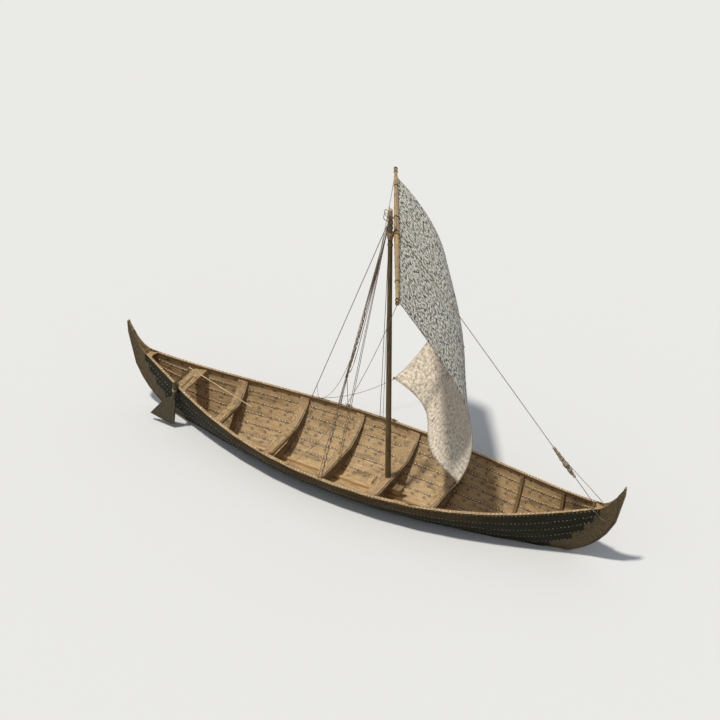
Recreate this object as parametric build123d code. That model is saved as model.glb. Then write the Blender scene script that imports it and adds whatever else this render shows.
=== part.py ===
from build123d import *
import math
import os

# An open clinker-built double-ended sailing boat with one square sail and a side rudder.
# Own frame: origin on the waterline amidships, +X to the bow, +Y to port, +Z up, millimetres.

# Driving dimensions of the hull
FORE_REACH = 5600        # amidships to the tip of the fore stem
AFT_REACH = 5535         # amidships to the tip of the aft stem
HALF_BEAM = 1214         # to the outside of the gunwale amidships
HULL_DEPTH = 940         # gunwale amidships down to the keel's underside
DRAUGHT = 300            # waterline down to the keel's underside, boat empty
TIP_RISE = 1290          # gunwale amidships up to the stem tips
SHEER_RISE = 837         # rise of the sheer curve at a full reach
SHEER_POWER = 2.485
PLAN_POWER = 2.2         # plan shape of the gunwale
PLAN_TAPER = 1.39
STEM_START = 0.55        # where the straight keel turns into a stem, as a share of the reach
FORE_POWER = 2.26        # roundness of each stem's outer curve
AFT_POWER = 2.45
PLANK_END = 0.955        # where the hull sides meet the stem, as a share of the reach
RAIL_END = 0.89          # where the gunwale rails stop, at the breasthooks
TIP_WIDTH = 25           # fore and aft width of the stem tip
HOLLOW_EDGE = 0.002      # the hollow's floor ends this share short of the stem's inner curve
HOLLOW_SILL = 30         # and at least this much under the top edge of the carved sides
V_MIDSHIP = 0.30         # how straight the hull section is amidships
V_ENDS = 0.90            # and at the stems

# Timber sizes and clearances
PLANK = 18
LAP = 35
GAP = 0.4                # between pieces that are seated on each other
KEEL_WIDTH = 70
KEEL_HEIGHT = 120
RABBET = 60              # plank edge above the keel's underside
STEM_BAND = KEEL_HEIGHT  # depth of the stem timber behind its outer curve
RAIL_WIDTH = 34
RAIL_HEIGHT = 46
RAIL_ABOVE = 4           # top of the rail over the edge of the planking
HEAD_GAP = 5             # under the rail, over the head of a frame

# Shares of the side's girth where one strake gives way to the next, keel to gunwale
LAP_SHARES = (0.0, 0.20, 0.37, 0.53, 0.69, 0.84, 1.0)
# Where each strake ends against the stem, as a share of the reach, lowest strake first
STEP_ENDS = (0.70, 0.75, 0.83, 0.87, 0.90, 0.92)
# Carved sides of the stems beyond the strakes: share of the reach, top edge over the sheer
# line and half-width over the top edge
WINGS = (
    {"at": 0.94, "rise": 50, "half": 69},
    {"at": 0.955, "rise": 119, "half": 52},
    {"at": 0.966, "rise": 182, "half": 46},
    {"at": 0.9775, "rise": 284, "half": 41},
)
# Top edge of the solid tip beyond them, under the very tip
TIPS = ({"at": 0.986, "under": 130}, {"at": 0.993, "under": 62})
STATIONS = (0.0, 0.15, 0.30, 0.44, 0.56, 0.64, 0.70, 0.75, 0.83, 0.87, 0.90, 0.92, PLANK_END)
# Where the planks of a strake meet end to end, staggered from one strake to the next
SCARFS = ((-0.56, -0.30, 0.0, 0.30, 0.56), (-0.44, -0.15, 0.15, 0.44))

SHEER_Z = HULL_DEPTH - DRAUGHT
KEEL_Z = -DRAUGHT
SIDE_Y = KEEL_WIDTH / 2 + GAP


def reach(t):
    return FORE_REACH if t >= 0 else AFT_REACH


def power(t):
    return FORE_POWER if t >= 0 else AFT_POWER


def gunwale_y(t):
    return HALF_BEAM * (1 - abs(t) ** PLAN_POWER) ** PLAN_TAPER


def gunwale_z(t):
    return SHEER_Z + SHEER_RISE * abs(t) ** SHEER_POWER


def stem_curve_z(t, inset):
    """Height of the stem's outer curve moved inwards by inset, at share t of the reach."""
    low = KEEL_Z + inset
    top = SHEER_Z + TIP_RISE
    end = 1 - inset / reach(t)
    share = (abs(t) - STEM_START) / (end - STEM_START)
    if share <= 0:
        return low
    share = min(share, 1.0)
    return top - (top - low) * (1 - share ** power(t)) ** (1 / power(t))


def girth_point(t, s, wide, top):
    """Point at share s of the girth of a side that is wide beyond the keel and ends at top."""
    bottom = stem_curve_z(t, RABBET)
    straight = V_MIDSHIP + (V_ENDS - V_MIDSHIP) * t * t
    angle = math.radians(90 * s)
    across = (1 - straight) * math.sin(angle) + straight * s
    up = (1 - straight) * (1 - math.cos(angle)) + straight * s
    return (SIDE_Y + wide * across, bottom + (top - bottom) * up)


def side_point(t, s):
    """Point of the hull side at share t of the reach and share s of the girth, port side."""
    return girth_point(t, s, max(gunwale_y(t) - PLANK - SIDE_Y, 0), gunwale_z(t))


def outward(a, b):
    """Unit normal to the line from a up to b, pointing out of the hull."""
    dy = b[0] - a[0]
    dz = b[1] - a[1]
    length = math.hypot(dy, dz)
    return (dz / length, -dy / length)


def shifted(point, direction, distance):
    return (point[0] + direction[0] * distance, point[1] + direction[1] * distance)


def plank_sections(t):
    """Outline of each strake at share t, lowest first: inner and outer faces with laps."""
    outlines = []
    below = None
    for i in range(len(LAP_SHARES) - 1):
        top = side_point(t, LAP_SHARES[i + 1])
        foot = side_point(t, LAP_SHARES[i])
        if below is None:
            normal = outward(foot, top)
            outlines.append([foot, top, shifted(top, normal, PLANK), shifted(foot, normal, PLANK)])
        else:
            knee = shifted(foot, below, PLANK + GAP)
            down = (below[1], -below[0])
            bottom = shifted(knee, down, LAP)
            normal = outward(knee, top)
            middle = (below[0] + normal[0], below[1] + normal[1])
            length = math.hypot(*middle)
            middle = (middle[0] / length, middle[1] / length)
            outlines.append([bottom, knee, top, shifted(top, normal, PLANK),
                             shifted(knee, middle, PLANK), shifted(bottom, below, PLANK)])
        below = normal
    return outlines


def between_stations(t, value):
    """A value along the hull as the ruled planking has it: straight between stations."""
    for low, high in zip(STATIONS, STATIONS[1:]):
        if low <= abs(t) <= high:
            break
    share = (abs(t) - low) / (high - low)
    low = math.copysign(low, t)
    high = math.copysign(high, t)
    return [a + (b - a) * share for a, b in zip(value(low), value(high))]


def inner_chain(t, offset):
    """Inside of the planking at share t, keel to gunwale, moved inboard by offset."""
    points = [tuple(between_stations(t, lambda at: side_point(at, s))) for s in LAP_SHARES]
    moved = []
    for i, point in enumerate(points):
        a = points[max(i - 1, 0)]
        b = points[min(i + 1, len(points) - 1)]
        moved.append(shifted(point, outward(a, b), -offset))
    return moved


def rail_top(x):
    """Height of the top of the gunwale rail at x."""
    return between_stations(share_of(x), lambda at: (gunwale_z(at),))[0] + RAIL_ABOVE


def rail_y(x):
    """Middle of the gunwale rail at x."""
    return between_stations(share_of(x), lambda at: side_point(at, 1.0))[0] - RAIL_WIDTH / 2 - 4


def chain_y(chain, z):
    """Half-width of a chain of points at height z."""
    for a, b in zip(chain, chain[1:]):
        if a[1] <= z <= b[1]:
            return a[0] + (b[0] - a[0]) * (z - a[1]) / (b[1] - a[1])
    return chain[0][0] if z < chain[0][1] else chain[-1][0]


def face_at(x, outline, side=1):
    points = [(x, side * y, z) for y, z in outline]
    return make_face(Polyline(*points, close=True))


def lofted(sections, side=1):
    """Ruled loft through (x, outline) pairs."""
    return loft([face_at(x, outline, side) for x, outline in sections], ruled=True)


def strake(i, side):
    """One strake as its planks, end to end with a gap between them."""
    end = STEP_ENDS[i]
    shares = [t for t in STATIONS if t <= end]
    shares = [-t for t in shares[:0:-1]] + shares
    cuts = [-end, *SCARFS[i % 2], end]
    planks = []
    for first, last in zip(cuts, cuts[1:]):
        sections = []
        for t in [t for t in shares if first <= t <= last]:
            x = t * reach(t)
            if t == first:
                x += GAP / 2
            if t == last:
                x -= GAP / 2
            if abs(t) == end:
                x -= math.copysign(GAP / 2, t)
            sections.append((x, plank_sections(t)[i]))
        planks.append(lofted(sections, side))
    return Compound(children=planks)


def wing_section(t, chain):
    """Section of a stem's carved side at share t: its inner points, then its outer ones back."""
    inner = [(y - 2 * GAP, z) for y, z in chain]
    outer = []
    for j, point in enumerate(inner):
        a = inner[max(j - 1, 0)]
        b = inner[min(j + 1, len(inner) - 1)]
        outer.append(shifted(point, outward(a, b), PLANK))
    return (t * reach(t), inner + outer[::-1])


def wing(end_sign, side):
    """Carved side of a stem, from the stepped ends of the strakes nearly up to the tip."""
    solid = None
    for i, (first, last) in enumerate(zip(STEP_ENDS, STEP_ENDS[1:])):
        shares = LAP_SHARES[:i + 2]
        sections = []
        for t in (end_sign * first, end_sign * last):
            sections.append(wing_section(t, [side_point(t, s) for s in shares]))
        piece = lofted(sections, side)
        solid = piece if solid is None else solid + piece
    t = end_sign * STEP_ENDS[-1]
    sections = [wing_section(t, [side_point(t, s) for s in LAP_SHARES])]
    for row in WINGS:
        t = end_sign * row["at"]
        wide = row["half"] - PLANK - SIDE_Y
        top = gunwale_z(t) + row["rise"]
        chain = [girth_point(t, s, wide, top) for s in LAP_SHARES]
        sections.append(wing_section(t, chain))
    return solid + lofted(sections, side)


def stem(end_sign):
    """Stem timber with its carved sides as one piece."""
    def edge(inset, first, last, count):
        shares = [first + (last - first) * k / (count - 1) for k in range(count)]
        return [(end_sign * t * reach(end_sign), stem_curve_z(end_sign * t, inset)) for t in shares]
    tip_x = end_sign * reach(end_sign)
    tip_z = SHEER_Z + TIP_RISE
    sill_at = WINGS[-1]["at"]
    sill = gunwale_z(sill_at) + WINGS[-1]["rise"]
    floor_end = min(1 - STEM_BAND / reach(end_sign), sill_at) - HOLLOW_EDGE
    back = edge(STEM_BAND, STEM_START + 0.002, floor_end - 0.02, 14)
    back += edge(STEM_BAND, floor_end - 0.01, floor_end, 3)
    back = [(x, min(z, sill - HOLLOW_SILL)) for x, z in back]
    top = [(end_sign * sill_at * reach(end_sign), sill)]
    top += [(end_sign * row["at"] * reach(end_sign), tip_z - row["under"]) for row in TIPS]
    tip = [(tip_x - end_sign * TIP_WIDTH, tip_z), (tip_x, tip_z)]
    outer = edge(0, STEM_START + 0.002, 0.999, 18)
    outline = back + top + tip + outer[::-1]
    plate = make_face(Polyline(*[(x, 0, z) for x, z in outline], close=True))
    body = extrude(plate, KEEL_WIDTH / 2, dir=(0, 1, 0), both=True)
    return body + wing(end_sign, 1) + wing(end_sign, -1)


def rail(side):
    shares = [t for t in STATIONS if t < RAIL_END - 0.01] + [RAIL_END]
    shares = [-t for t in shares[:0:-1]] + shares
    sections = []
    for t in shares:
        top = gunwale_z(t) + RAIL_ABOVE
        skin = inner_chain(t, 2 * GAP)
        high = skin[-1][0]
        low = chain_y(skin, top - RAIL_HEIGHT)
        width = min(RAIL_WIDTH, low - SIDE_Y - 4)
        sections.append((t * reach(t), [(high, top), (low - width, top),
                                        (low - width, top - RAIL_HEIGHT), (low, top - RAIL_HEIGHT)]))
    return lofted(sections, side)


def share_of(x):
    return x / (FORE_REACH if x >= 0 else AFT_REACH)


def spaced(a, b, count):
    return [a + (b - a) * k / (count - 1) for k in range(count)]


def frame_outline(x, low, high, thick, flat_rise):
    """Closed outline of a timber across the hull from height low, arms up to high."""
    t = share_of(x)
    skin = inner_chain(t, GAP + 0.4)
    inside = inner_chain(t, thick)
    flat = low + flat_rise
    while chain_y(inside, flat) < 15:
        flat += 5
    half = [(chain_y(skin, z), z) for z in spaced(low, high, 8)]
    half += [(chain_y(inside, z), z) for z in spaced(high, flat, 7)]
    return half + [(-y, z) for y, z in half[::-1]]


def beam_outline(x, top, depth):
    """Closed outline of a cross beam with a knee up each side."""
    t = share_of(x)
    skin = inner_chain(t, GAP + 0.4)
    head = gunwale_z(t) - RAIL_HEIGHT - HEAD_GAP
    half = [(chain_y(skin, z), z) for z in spaced(top - depth, head, 8)]
    foot = min(KNEE_FOOT, 0.42 * chain_y(skin, top))
    for k in range(6):
        down = k / 5
        z = head - down * (head - top)
        half.append((chain_y(skin, z) - KNEE_HEAD - (foot - KNEE_HEAD) * down ** 2.2, z))
    return half + [(-y, z) for y, z in half[::-1]]


# Cross beams: forward edge as a share of the reach, top below the gunwale amidships, width
BEAMS = (
    {"name": "beam_1", "at": -0.562, "drop": 207, "width": 190},
    {"name": "beam_2", "at": -0.327, "drop": 409, "width": 190},
    {"name": "beam_3", "at": -0.104, "drop": 476, "width": 190},
    {"name": "beam_4", "at": 0.1245, "drop": 409, "width": 270},
    {"name": "beam_5", "at": 0.3303, "drop": 409, "width": 190},
)
BEAM_DEPTH = 70
KNEE_HEAD = 48           # thickness of a knee at its head, and its reach along the beam
KNEE_FOOT = 330
FLOOR_HEIGHT = 110
FLOOR_WIDTH = 80
FLOOR_ARM = 75
# Light frames without a beam in the bow: middle as a share of the reach
END_FRAMES = (
    {"name": "frame_fore_1", "at": 0.5697},
    {"name": "frame_fore_2", "at": 0.7518},
)
END_FRAME_WIDTH = 70
END_FRAME_ARM = 50
END_FRAME_RISE = 60      # depth of a light frame over the keel
FLOOR_SEAT = 3           # floor timber over a curved stem, and light frame over keel or stem
END_FRAME_SEAT = 12

# Mast, yard and sail
MAST_BEAM = "beam_4"
MAST_BEHIND = 120        # mast's axis behind the forward edge of its beam
MAST_R = 60
MAST_TOP_R = 42
MAST_FIT = 1.5
MAST_HEIGHT = 5785       # mast top, stays and yard over the gunwale amidships
HOUNDS_HEIGHT = 5500
YARD_HEIGHT = 5264
YARD_R = 48
YARD_END_R = 28
YARD_PORT = 2390
YARD_STARBOARD = 2315
YARD_ANGLE = 29.2
YARD_AHEAD = MAST_R + YARD_R + 6

MAST_TOP = SHEER_Z + MAST_HEIGHT
HOUNDS_Z = SHEER_Z + HOUNDS_HEIGHT
YARD_Z = SHEER_Z + YARD_HEIGHT


def place(share):
    """Distance forward of amidships at a share of the reach."""
    return share * reach(share)


MAST_X = place(BEAMS[3]["at"]) - MAST_BEHIND
yaw = math.radians(YARD_ANGLE)
along = (-math.sin(yaw), math.cos(yaw))       # towards the port end of the yard
ahead = (math.cos(yaw), math.sin(yaw))        # square to the yard, forwards
yard_x = MAST_X + YARD_AHEAD * ahead[0]
yard_y = YARD_AHEAD * ahead[1]


def yard_point(distance, z=YARD_Z, forward=0):
    """Point at a distance along the yard from its middle, port positive."""
    return (yard_x + along[0] * distance + ahead[0] * forward,
            yard_y + along[1] * distance + ahead[1] * forward, z)


def rod(a, b, r1, r2=None):
    """Round bar from a to b, tapered when a second radius is given."""
    a = Vector(*a)
    b = Vector(*b)
    plane = Plane(origin=a, z_dir=b - a)
    length = (b - a).length
    if r2 is None:
        return plane * Cylinder(r1, length, align=(Align.CENTER, Align.CENTER, Align.MIN))
    return plane * Cone(r1, r2, length, align=(Align.CENTER, Align.CENTER, Align.MIN))


parts = {}


def add(name, solid):
    parts[name] = solid


keel_half = STEM_START
add("keel", Pos((keel_half * (FORE_REACH - AFT_REACH)) / 2, 0, KEEL_Z)
    * Box(keel_half * (FORE_REACH + AFT_REACH), KEEL_WIDTH, KEEL_HEIGHT,
          align=(Align.CENTER, Align.CENTER, Align.MIN)))
add("stem_fore", stem(1))
add("stem_aft", stem(-1))
for side, word in ((1, "port"), (-1, "starboard")):
    for i in range(len(STEP_ENDS)):
        add(f"strake_{i + 1}_{word}", strake(i, side))
    add(f"gunwale_{word}", rail(side))

for row in BEAMS:
    top = SHEER_Z - row["drop"]
    front = place(row["at"])
    xs = (front - row["width"], front)
    beam = lofted([(x, beam_outline(x, top, BEAM_DEPTH)) for x in xs])
    if row["name"] == MAST_BEAM:
        beam -= Pos(MAST_X, 0, top) * Cylinder(MAST_R + MAST_FIT, 4 * BEAM_DEPTH)
    add(row["name"], beam)
    mid = front - row["width"] / 2
    sections = []
    for x in (mid - FLOOR_WIDTH / 2, mid + FLOOR_WIDTH / 2):
        low = KEEL_Z + KEEL_HEIGHT + GAP
        if abs(share_of(x)) > STEM_START:
            low = stem_curve_z(share_of(x), STEM_BAND) + FLOOR_SEAT
        sections.append((x, frame_outline(x, low, top - BEAM_DEPTH - GAP, FLOOR_ARM, FLOOR_HEIGHT)))
    add(row["name"].replace("beam", "floor"), lofted(sections))

for row in END_FRAMES:
    sections = []
    for x in (place(row["at"]) - END_FRAME_WIDTH / 2, place(row["at"]) + END_FRAME_WIDTH / 2):
        t = share_of(x)
        low = max(KEEL_Z + KEEL_HEIGHT, stem_curve_z(t, STEM_BAND)) + END_FRAME_SEAT
        high = gunwale_z(t) - RAIL_HEIGHT - HEAD_GAP
        sections.append((x, frame_outline(x, low, high, END_FRAME_ARM, END_FRAME_RISE)))
    add(row["name"], lofted(sections))

# Plank for the person steering, and the hooks that tie the sides together at the ends
HELM_FRONT = place(-0.711)
HELM_WIDTH = 262
HELM_THICK = 32
SEAT_RISE = 4            # middle of the helm plank, between the rails, over its ends
SEAT_INSET = 12          # and inboard of the rails
HOOK_THICK = 40
HOOK_DROP = 20           # top of a hook under the sheer line
HOOK_END = 0.92          # outer end of a hook
HOOK_HOLLOW = 35         # depth of the curve in a hook's inner edge, and its radius
HOOK_CURVE = 190


def board(x1, x2, top, thick):
    """Level board fitted between the planking of the two sides."""
    faces = []
    for z in (top - thick, top):
        y1 = chain_y(inner_chain(share_of(x1), 2 * GAP), z)
        y2 = chain_y(inner_chain(share_of(x2), 2 * GAP), z)
        corners = [(x1, y1, z), (x2, y2, z), (x2, -y2, z), (x1, -y1, z)]
        faces.append(make_face(Polyline(*corners, close=True)))
    return loft(faces, ruled=True)


# The plank's ends lie just under the rails, the hooks just under the sheer line
helm_top = rail_top(HELM_FRONT) - RAIL_HEIGHT - GAP
seat_top = helm_top + SEAT_RISE
helm_back = HELM_FRONT - HELM_WIDTH
back_y = rail_y(helm_back) - RAIL_WIDTH / 2 - SEAT_INSET
front_y = rail_y(HELM_FRONT) - RAIL_WIDTH / 2 - SEAT_INSET
seat = [(helm_back, back_y), (HELM_FRONT, front_y), (HELM_FRONT, -front_y), (helm_back, -back_y)]
seat = make_face(Polyline(*[(x, y, seat_top) for x, y in seat], close=True))
helm = board(helm_back, HELM_FRONT, helm_top, HELM_THICK)
helm += extrude(seat, SEAT_RISE + HELM_THICK / 2, dir=(0, 0, -1))
add("helm_plank", helm)
for word, end in (("fore", 1), ("aft", -1)):
    inner = end * (RAIL_END * reach(end) + GAP)
    hook_top = gunwale_z(RAIL_END) - HOOK_DROP
    hook = board(inner, end * HOOK_END * reach(end), hook_top, HOOK_THICK)
    hook -= Pos(inner - end * (HOOK_CURVE - HOOK_HOLLOW), 0, hook_top) * Cylinder(
        HOOK_CURVE, 4 * HOOK_THICK)
    add(f"breasthook_{word}", hook)

# Mast with its step on the floor timber
STEP_LENGTH = 640
STEP_WIDTH = 180
STEP_HEIGHT = 110
step_z = KEEL_Z + KEEL_HEIGHT + GAP + FLOOR_HEIGHT + GAP
add("mast_step", Pos(MAST_X, 0, step_z)
    * Box(STEP_LENGTH, STEP_WIDTH, STEP_HEIGHT, align=(Align.CENTER, Align.CENTER, Align.MIN)))
mast_z = step_z + STEP_HEIGHT + GAP
add("mast", rod((MAST_X, 0, mast_z), (MAST_X, 0, MAST_TOP), MAST_R, MAST_TOP_R))

# Standing rigging: foot on the gunwale, or on the fore stem's hook
ROPE_R = 9
STAY_FOOT = 55           # forestay's foot forward of the end of the rails
STAYS = (
    {"name": "shroud_starboard", "at": -0.0506, "side": -1, "lower": 0},
    {"name": "shroud_port", "at": -0.2132, "side": 1, "lower": 60},
    {"name": "backstay_port", "at": -0.3207, "side": 1, "lower": 0},
)


def mast_radius(z):
    return MAST_R + (MAST_TOP_R - MAST_R) * (z - mast_z) / (MAST_TOP - mast_z)


for row in STAYS:
    x = place(row["at"])
    foot = Vector(x, row["side"] * rail_y(x), rail_top(x) + GAP + ROPE_R * 0.6)
    centre = Vector(MAST_X, 0, HOUNDS_Z - row["lower"])
    level = Vector(foot.X - centre.X, foot.Y, 0).normalized()
    steep = abs((centre - foot).normalized().Z)
    head = centre + level * (mast_radius(centre.Z) + ROPE_R * steep + GAP)
    add(row["name"], rod(head, foot, ROPE_R))
foot = Vector(RAIL_END * FORE_REACH + STAY_FOOT, 0, gunwale_z(RAIL_END) - HOOK_DROP + GAP)
head = Vector(MAST_X + mast_radius(HOUNDS_Z) + GAP, 0, HOUNDS_Z)
line = (foot - head).normalized()
add("forestay", rod((head + Vector(-line.Z * ROPE_R, 0, 0)),
                    (foot + Vector(0, 0, line.X * ROPE_R)), ROPE_R))

# Horned cleats on the gunwales
CLEATS = (
    {"name": "cleat_starboard_aft", "at": -0.3136, "side": -1},
    {"name": "cleat_starboard_fore", "at": 0.293, "side": -1},
    {"name": "cleat_port_aft", "at": -0.1734, "side": 1},
    {"name": "cleat_port_mid", "at": 0.0111, "side": 1},
)
CLEAT_FOOT = (50, 26, 30)
CLEAT_HORNS = (190, 24, 24)
for row in CLEATS:
    x = place(row["at"])
    half = CLEAT_FOOT[0] / 2
    high = max(rail_top(x - half), rail_top(x + half)) + GAP
    base = (Align.CENTER, Align.CENTER, Align.MIN)
    cleat = Box(*CLEAT_FOOT, align=base) + Pos(0, 0, CLEAT_FOOT[2]) * Box(*CLEAT_HORNS, align=base)
    add(row["name"], Pos(x, row["side"] * rail_y(x), high) * cleat)

# Side rudder on the starboard quarter, its tiller and the stick that works it
RUDDER_BEHIND = 155      # rudder's axis at its top, behind the forward edge of the helm plank
RUDDER_OUT = 98          # rudder's axis outboard of the middle of the rail
RUDDER_ABOVE = 125       # top of the stock over the rail
RUDDER_RAKE = 8.0
RUDDER_X = HELM_FRONT - RUDDER_BEHIND
RUDDER_Y = -(rail_y(RUDDER_X) + RUDDER_OUT)
RUDDER_TOP = rail_top(RUDDER_X) + RUDDER_ABOVE
BLADE = 40
rake = math.radians(RUDDER_RAKE)
axis_up = Vector(math.sin(rake), 0, math.cos(rake))


def rudder_axis_x(z):
    return RUDDER_X - (RUDDER_TOP - z) * math.tan(rake)


def axis_point(z):
    return (rudder_axis_x(z), RUDDER_Y, z)


# Round stock down to the blade, then the blade's edges as distances from the axis
STOCK_R = 38
STOCK_END = 770
RUDDER_EDGES = (
    {"z": 800, "fore": 36, "aft": 36},
    {"z": 700, "fore": 48, "aft": 170},
    {"z": 560, "fore": 55, "aft": 290},
    {"z": 190, "fore": 62, "aft": 520},
    {"z": 90, "fore": 60, "aft": 40},
)
fore_edge = [(rudder_axis_x(row["z"]) + row["fore"], RUDDER_Y, row["z"]) for row in RUDDER_EDGES]
aft_edge = [(rudder_axis_x(row["z"]) - row["aft"], RUDDER_Y, row["z"]) for row in RUDDER_EDGES]
blade = make_face(Polyline(*fore_edge, *aft_edge[::-1], close=True))
rudder = extrude(blade, BLADE / 2, dir=(0, 1, 0), both=True)
rudder += rod(axis_point(STOCK_END), axis_point(RUDDER_TOP), STOCK_R)
add("rudder", rudder)

# The rudder turns in a boss on the side and a collar at the gunwale
BOSS_Z = 880
BOSS_INNER_R = 80        # against the planking, and against the stock
BOSS_OUTER_R = 46
BOSS_STRAKES = (3, 4, 5, 6)
BOSS_START_Y = -200      # well inside the planking that the boss is cut to
COLLAR_Z = rail_top(RUDDER_X - 60) + GAP
COLLAR_WALL = 14
COLLAR_HEIGHT = 44
COLLAR_ARM = (56, 32)    # fore and aft width and height of the arm that lies on the rail
COLLAR_ARM_AFT = 3
boss_x = rudder_axis_x(BOSS_Z)
boss = rod((boss_x, BOSS_START_Y, BOSS_Z), (boss_x, RUDDER_Y + STOCK_R + GAP, BOSS_Z),
           BOSS_INNER_R, BOSS_OUTER_R)
for i in BOSS_STRAKES:
    for plank in parts[f"strake_{i}_starboard"].solids():
        boss -= plank
boss = sorted(boss.solids(), key=lambda solid: solid.bounding_box().min.Y)[0]
add("rudder_boss", boss)
collar = rod(axis_point(COLLAR_Z), axis_point(COLLAR_Z + COLLAR_HEIGHT), STOCK_R + COLLAR_WALL)
collar_x = rudder_axis_x(COLLAR_Z)
inboard = rail_y(collar_x) - RAIL_WIDTH / 2
outboard = abs(RUDDER_Y) - STOCK_R
collar += Pos(collar_x - COLLAR_ARM_AFT, -(inboard + outboard) / 2, COLLAR_Z) * Box(
    COLLAR_ARM[0], outboard - inboard, COLLAR_ARM[1], align=(Align.CENTER, Align.CENTER, Align.MIN))
collar -= rod(axis_point(COLLAR_Z - 2 * COLLAR_HEIGHT), axis_point(COLLAR_Z + 2 * COLLAR_HEIGHT),
              STOCK_R + GAP)
add("rudder_collar", collar)

TILLER_R = 17
TILLER_LENGTH = 600
TILLER_BACK = 35         # outboard end of the tiller past the rudder's axis
PEG_R = 9
PEG_INSET = 25           # peg from the tiller's inboard end
PEG_ABOVE = 32           # peg's top over the tiller
tiller_z = RUDDER_TOP + TILLER_R + GAP
tiller_x = rudder_axis_x(tiller_z)
tiller_y = RUDDER_Y - TILLER_BACK
peg = Vector(tiller_x, tiller_y + TILLER_LENGTH - PEG_INSET, tiller_z)
tiller = rod((tiller_x, tiller_y, tiller_z), (tiller_x, tiller_y + TILLER_LENGTH, tiller_z), TILLER_R)
tiller += rod(peg, (peg + axis_up * (TILLER_R + PEG_ABOVE)), PEG_R)
add("tiller", tiller)

# Tiller stick: an eye over the tiller's peg, reaching forwards
STICK_R = 11
STICK_REACH = 1640
STICK_DROP = 190
STICK_END_Y = -230
EYE_FIT = 0.4
EYE_WALL = 11
EYE_HEIGHT = 24
STICK_START = 3          # stick's end from the inside of its eye
eye_low = peg + axis_up * (TILLER_R + GAP)
eye_high = eye_low + axis_up * EYE_HEIGHT
eye_mid = eye_low + axis_up * (EYE_HEIGHT / 2)
stick_end = Vector(peg.X + STICK_REACH, STICK_END_Y, peg.Z - STICK_DROP)
heading = (stick_end - eye_mid).normalized()
stick = rod((eye_mid + heading * (PEG_R + EYE_FIT + STICK_START)), stick_end, STICK_R)
stick += rod(eye_low, eye_high, PEG_R + EYE_FIT + EYE_WALL)
stick -= rod((eye_low - axis_up * EYE_HEIGHT), (eye_high + axis_up * EYE_HEIGHT), PEG_R + EYE_FIT)
add("tiller_stick", stick)

# Yard, the ring that holds it to the mast, and the sail
yard = rod(yard_point(0), yard_point(YARD_PORT), YARD_R, YARD_END_R)
yard += rod(yard_point(0), yard_point(-YARD_STARBOARD), YARD_R, YARD_END_R)
add("yard", yard)
PARREL_FIT = 0.4
PARREL_HEIGHT = 60
ring_in = mast_radius(YARD_Z - PARREL_HEIGHT / 2) + PARREL_FIT
ring_out = YARD_AHEAD - YARD_R - GAP
parrel = Pos(MAST_X, 0, YARD_Z) * (Cylinder(ring_out, PARREL_HEIGHT)
                                   - Cylinder(ring_in, PARREL_HEIGHT))
add("parrel", parrel)

SAIL_THICK = 12
SAIL_DROP = 45           # head of the sail under the yard's axis, and ahead of it
SAIL_AHEAD = 30
CLEW = (MAST_X - 536, 1234, YARD_Z - 4240)      # port lower corner
TACK = (MAST_X + 2023, -925, YARD_Z - 4374)     # starboard lower corner
# Side edges: end on the yard, lower corner, and how far the edge's two middle points stand
# ahead of the straight line and along the yard
LEECHES = {
    "port": {"along": 2110, "corner": CLEW, "ahead": (1288, 1448), "shift": (8, 109)},
    "starboard": {"along": -2160, "corner": TACK, "ahead": (426, 1093), "shift": (73, -91)},
}
SAIL_BELLY = 131         # swell halfway down, swell at the foot, and the foot's S curve
FOOT_BELLY = 44
FOOT_CURL = 200
SAIL_ROWS = 11
SAIL_COLUMNS = 9


def leech_point(side, v):
    """Point on a side edge of the sail, v from the head to the lower corner."""
    row = LEECHES[side]
    head = yard_point(row["along"], YARD_Z - SAIL_DROP, SAIL_AHEAD)
    corner = row["corner"]
    point = []
    for k in range(3):
        run = (corner[k] - head[k]) / 3
        push = (ahead[0], ahead[1], 0)[k]
        pull = (along[0], along[1], 0)[k]
        first = head[k] + run + push * row["ahead"][0] + pull * row["shift"][0]
        second = head[k] + 2 * run + push * row["ahead"][1] + pull * row["shift"][1]
        point.append((1 - v) ** 3 * head[k] + 3 * v * (1 - v) ** 2 * first
                     + 3 * v * v * (1 - v) * second + v ** 3 * corner[k])
    return point


def sail_row(v):
    """Flat outline across the sail at v: forward face out, aft face back."""
    port = leech_point("port", v)
    starboard = leech_point("starboard", v)
    front = []
    for u in spaced(0, 1, SAIL_COLUMNS):
        belly = SAIL_BELLY * math.sin(math.pi * v ** 1.4) + FOOT_BELLY * v * v
        swell = belly * 4 * u * (1 - u) + FOOT_CURL * v ** 3 * math.sin(2 * math.pi * u)
        front.append(tuple(p + (q - p) * u + swell * a
                           for p, q, a in zip(port, starboard, (ahead[0], ahead[1], 0))))
    back = [(x - ahead[0] * SAIL_THICK, y - ahead[1] * SAIL_THICK, z) for x, y, z in front]
    return front + back[::-1]


rows = [make_face(Polyline(*sail_row(v), close=True)) for v in spaced(0, 1, SAIL_ROWS)]
add("sail", loft(rows, ruled=True))

os.makedirs("parts", exist_ok=True)
for name, solid in parts.items():
    export_step(solid, f"parts/{name}.step")
    print(name, round(solid.volume / 1e9, 5), solid.is_valid, len(solid.solids()))
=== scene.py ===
import bpy
import math
from mathutils import Matrix, Vector


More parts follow.
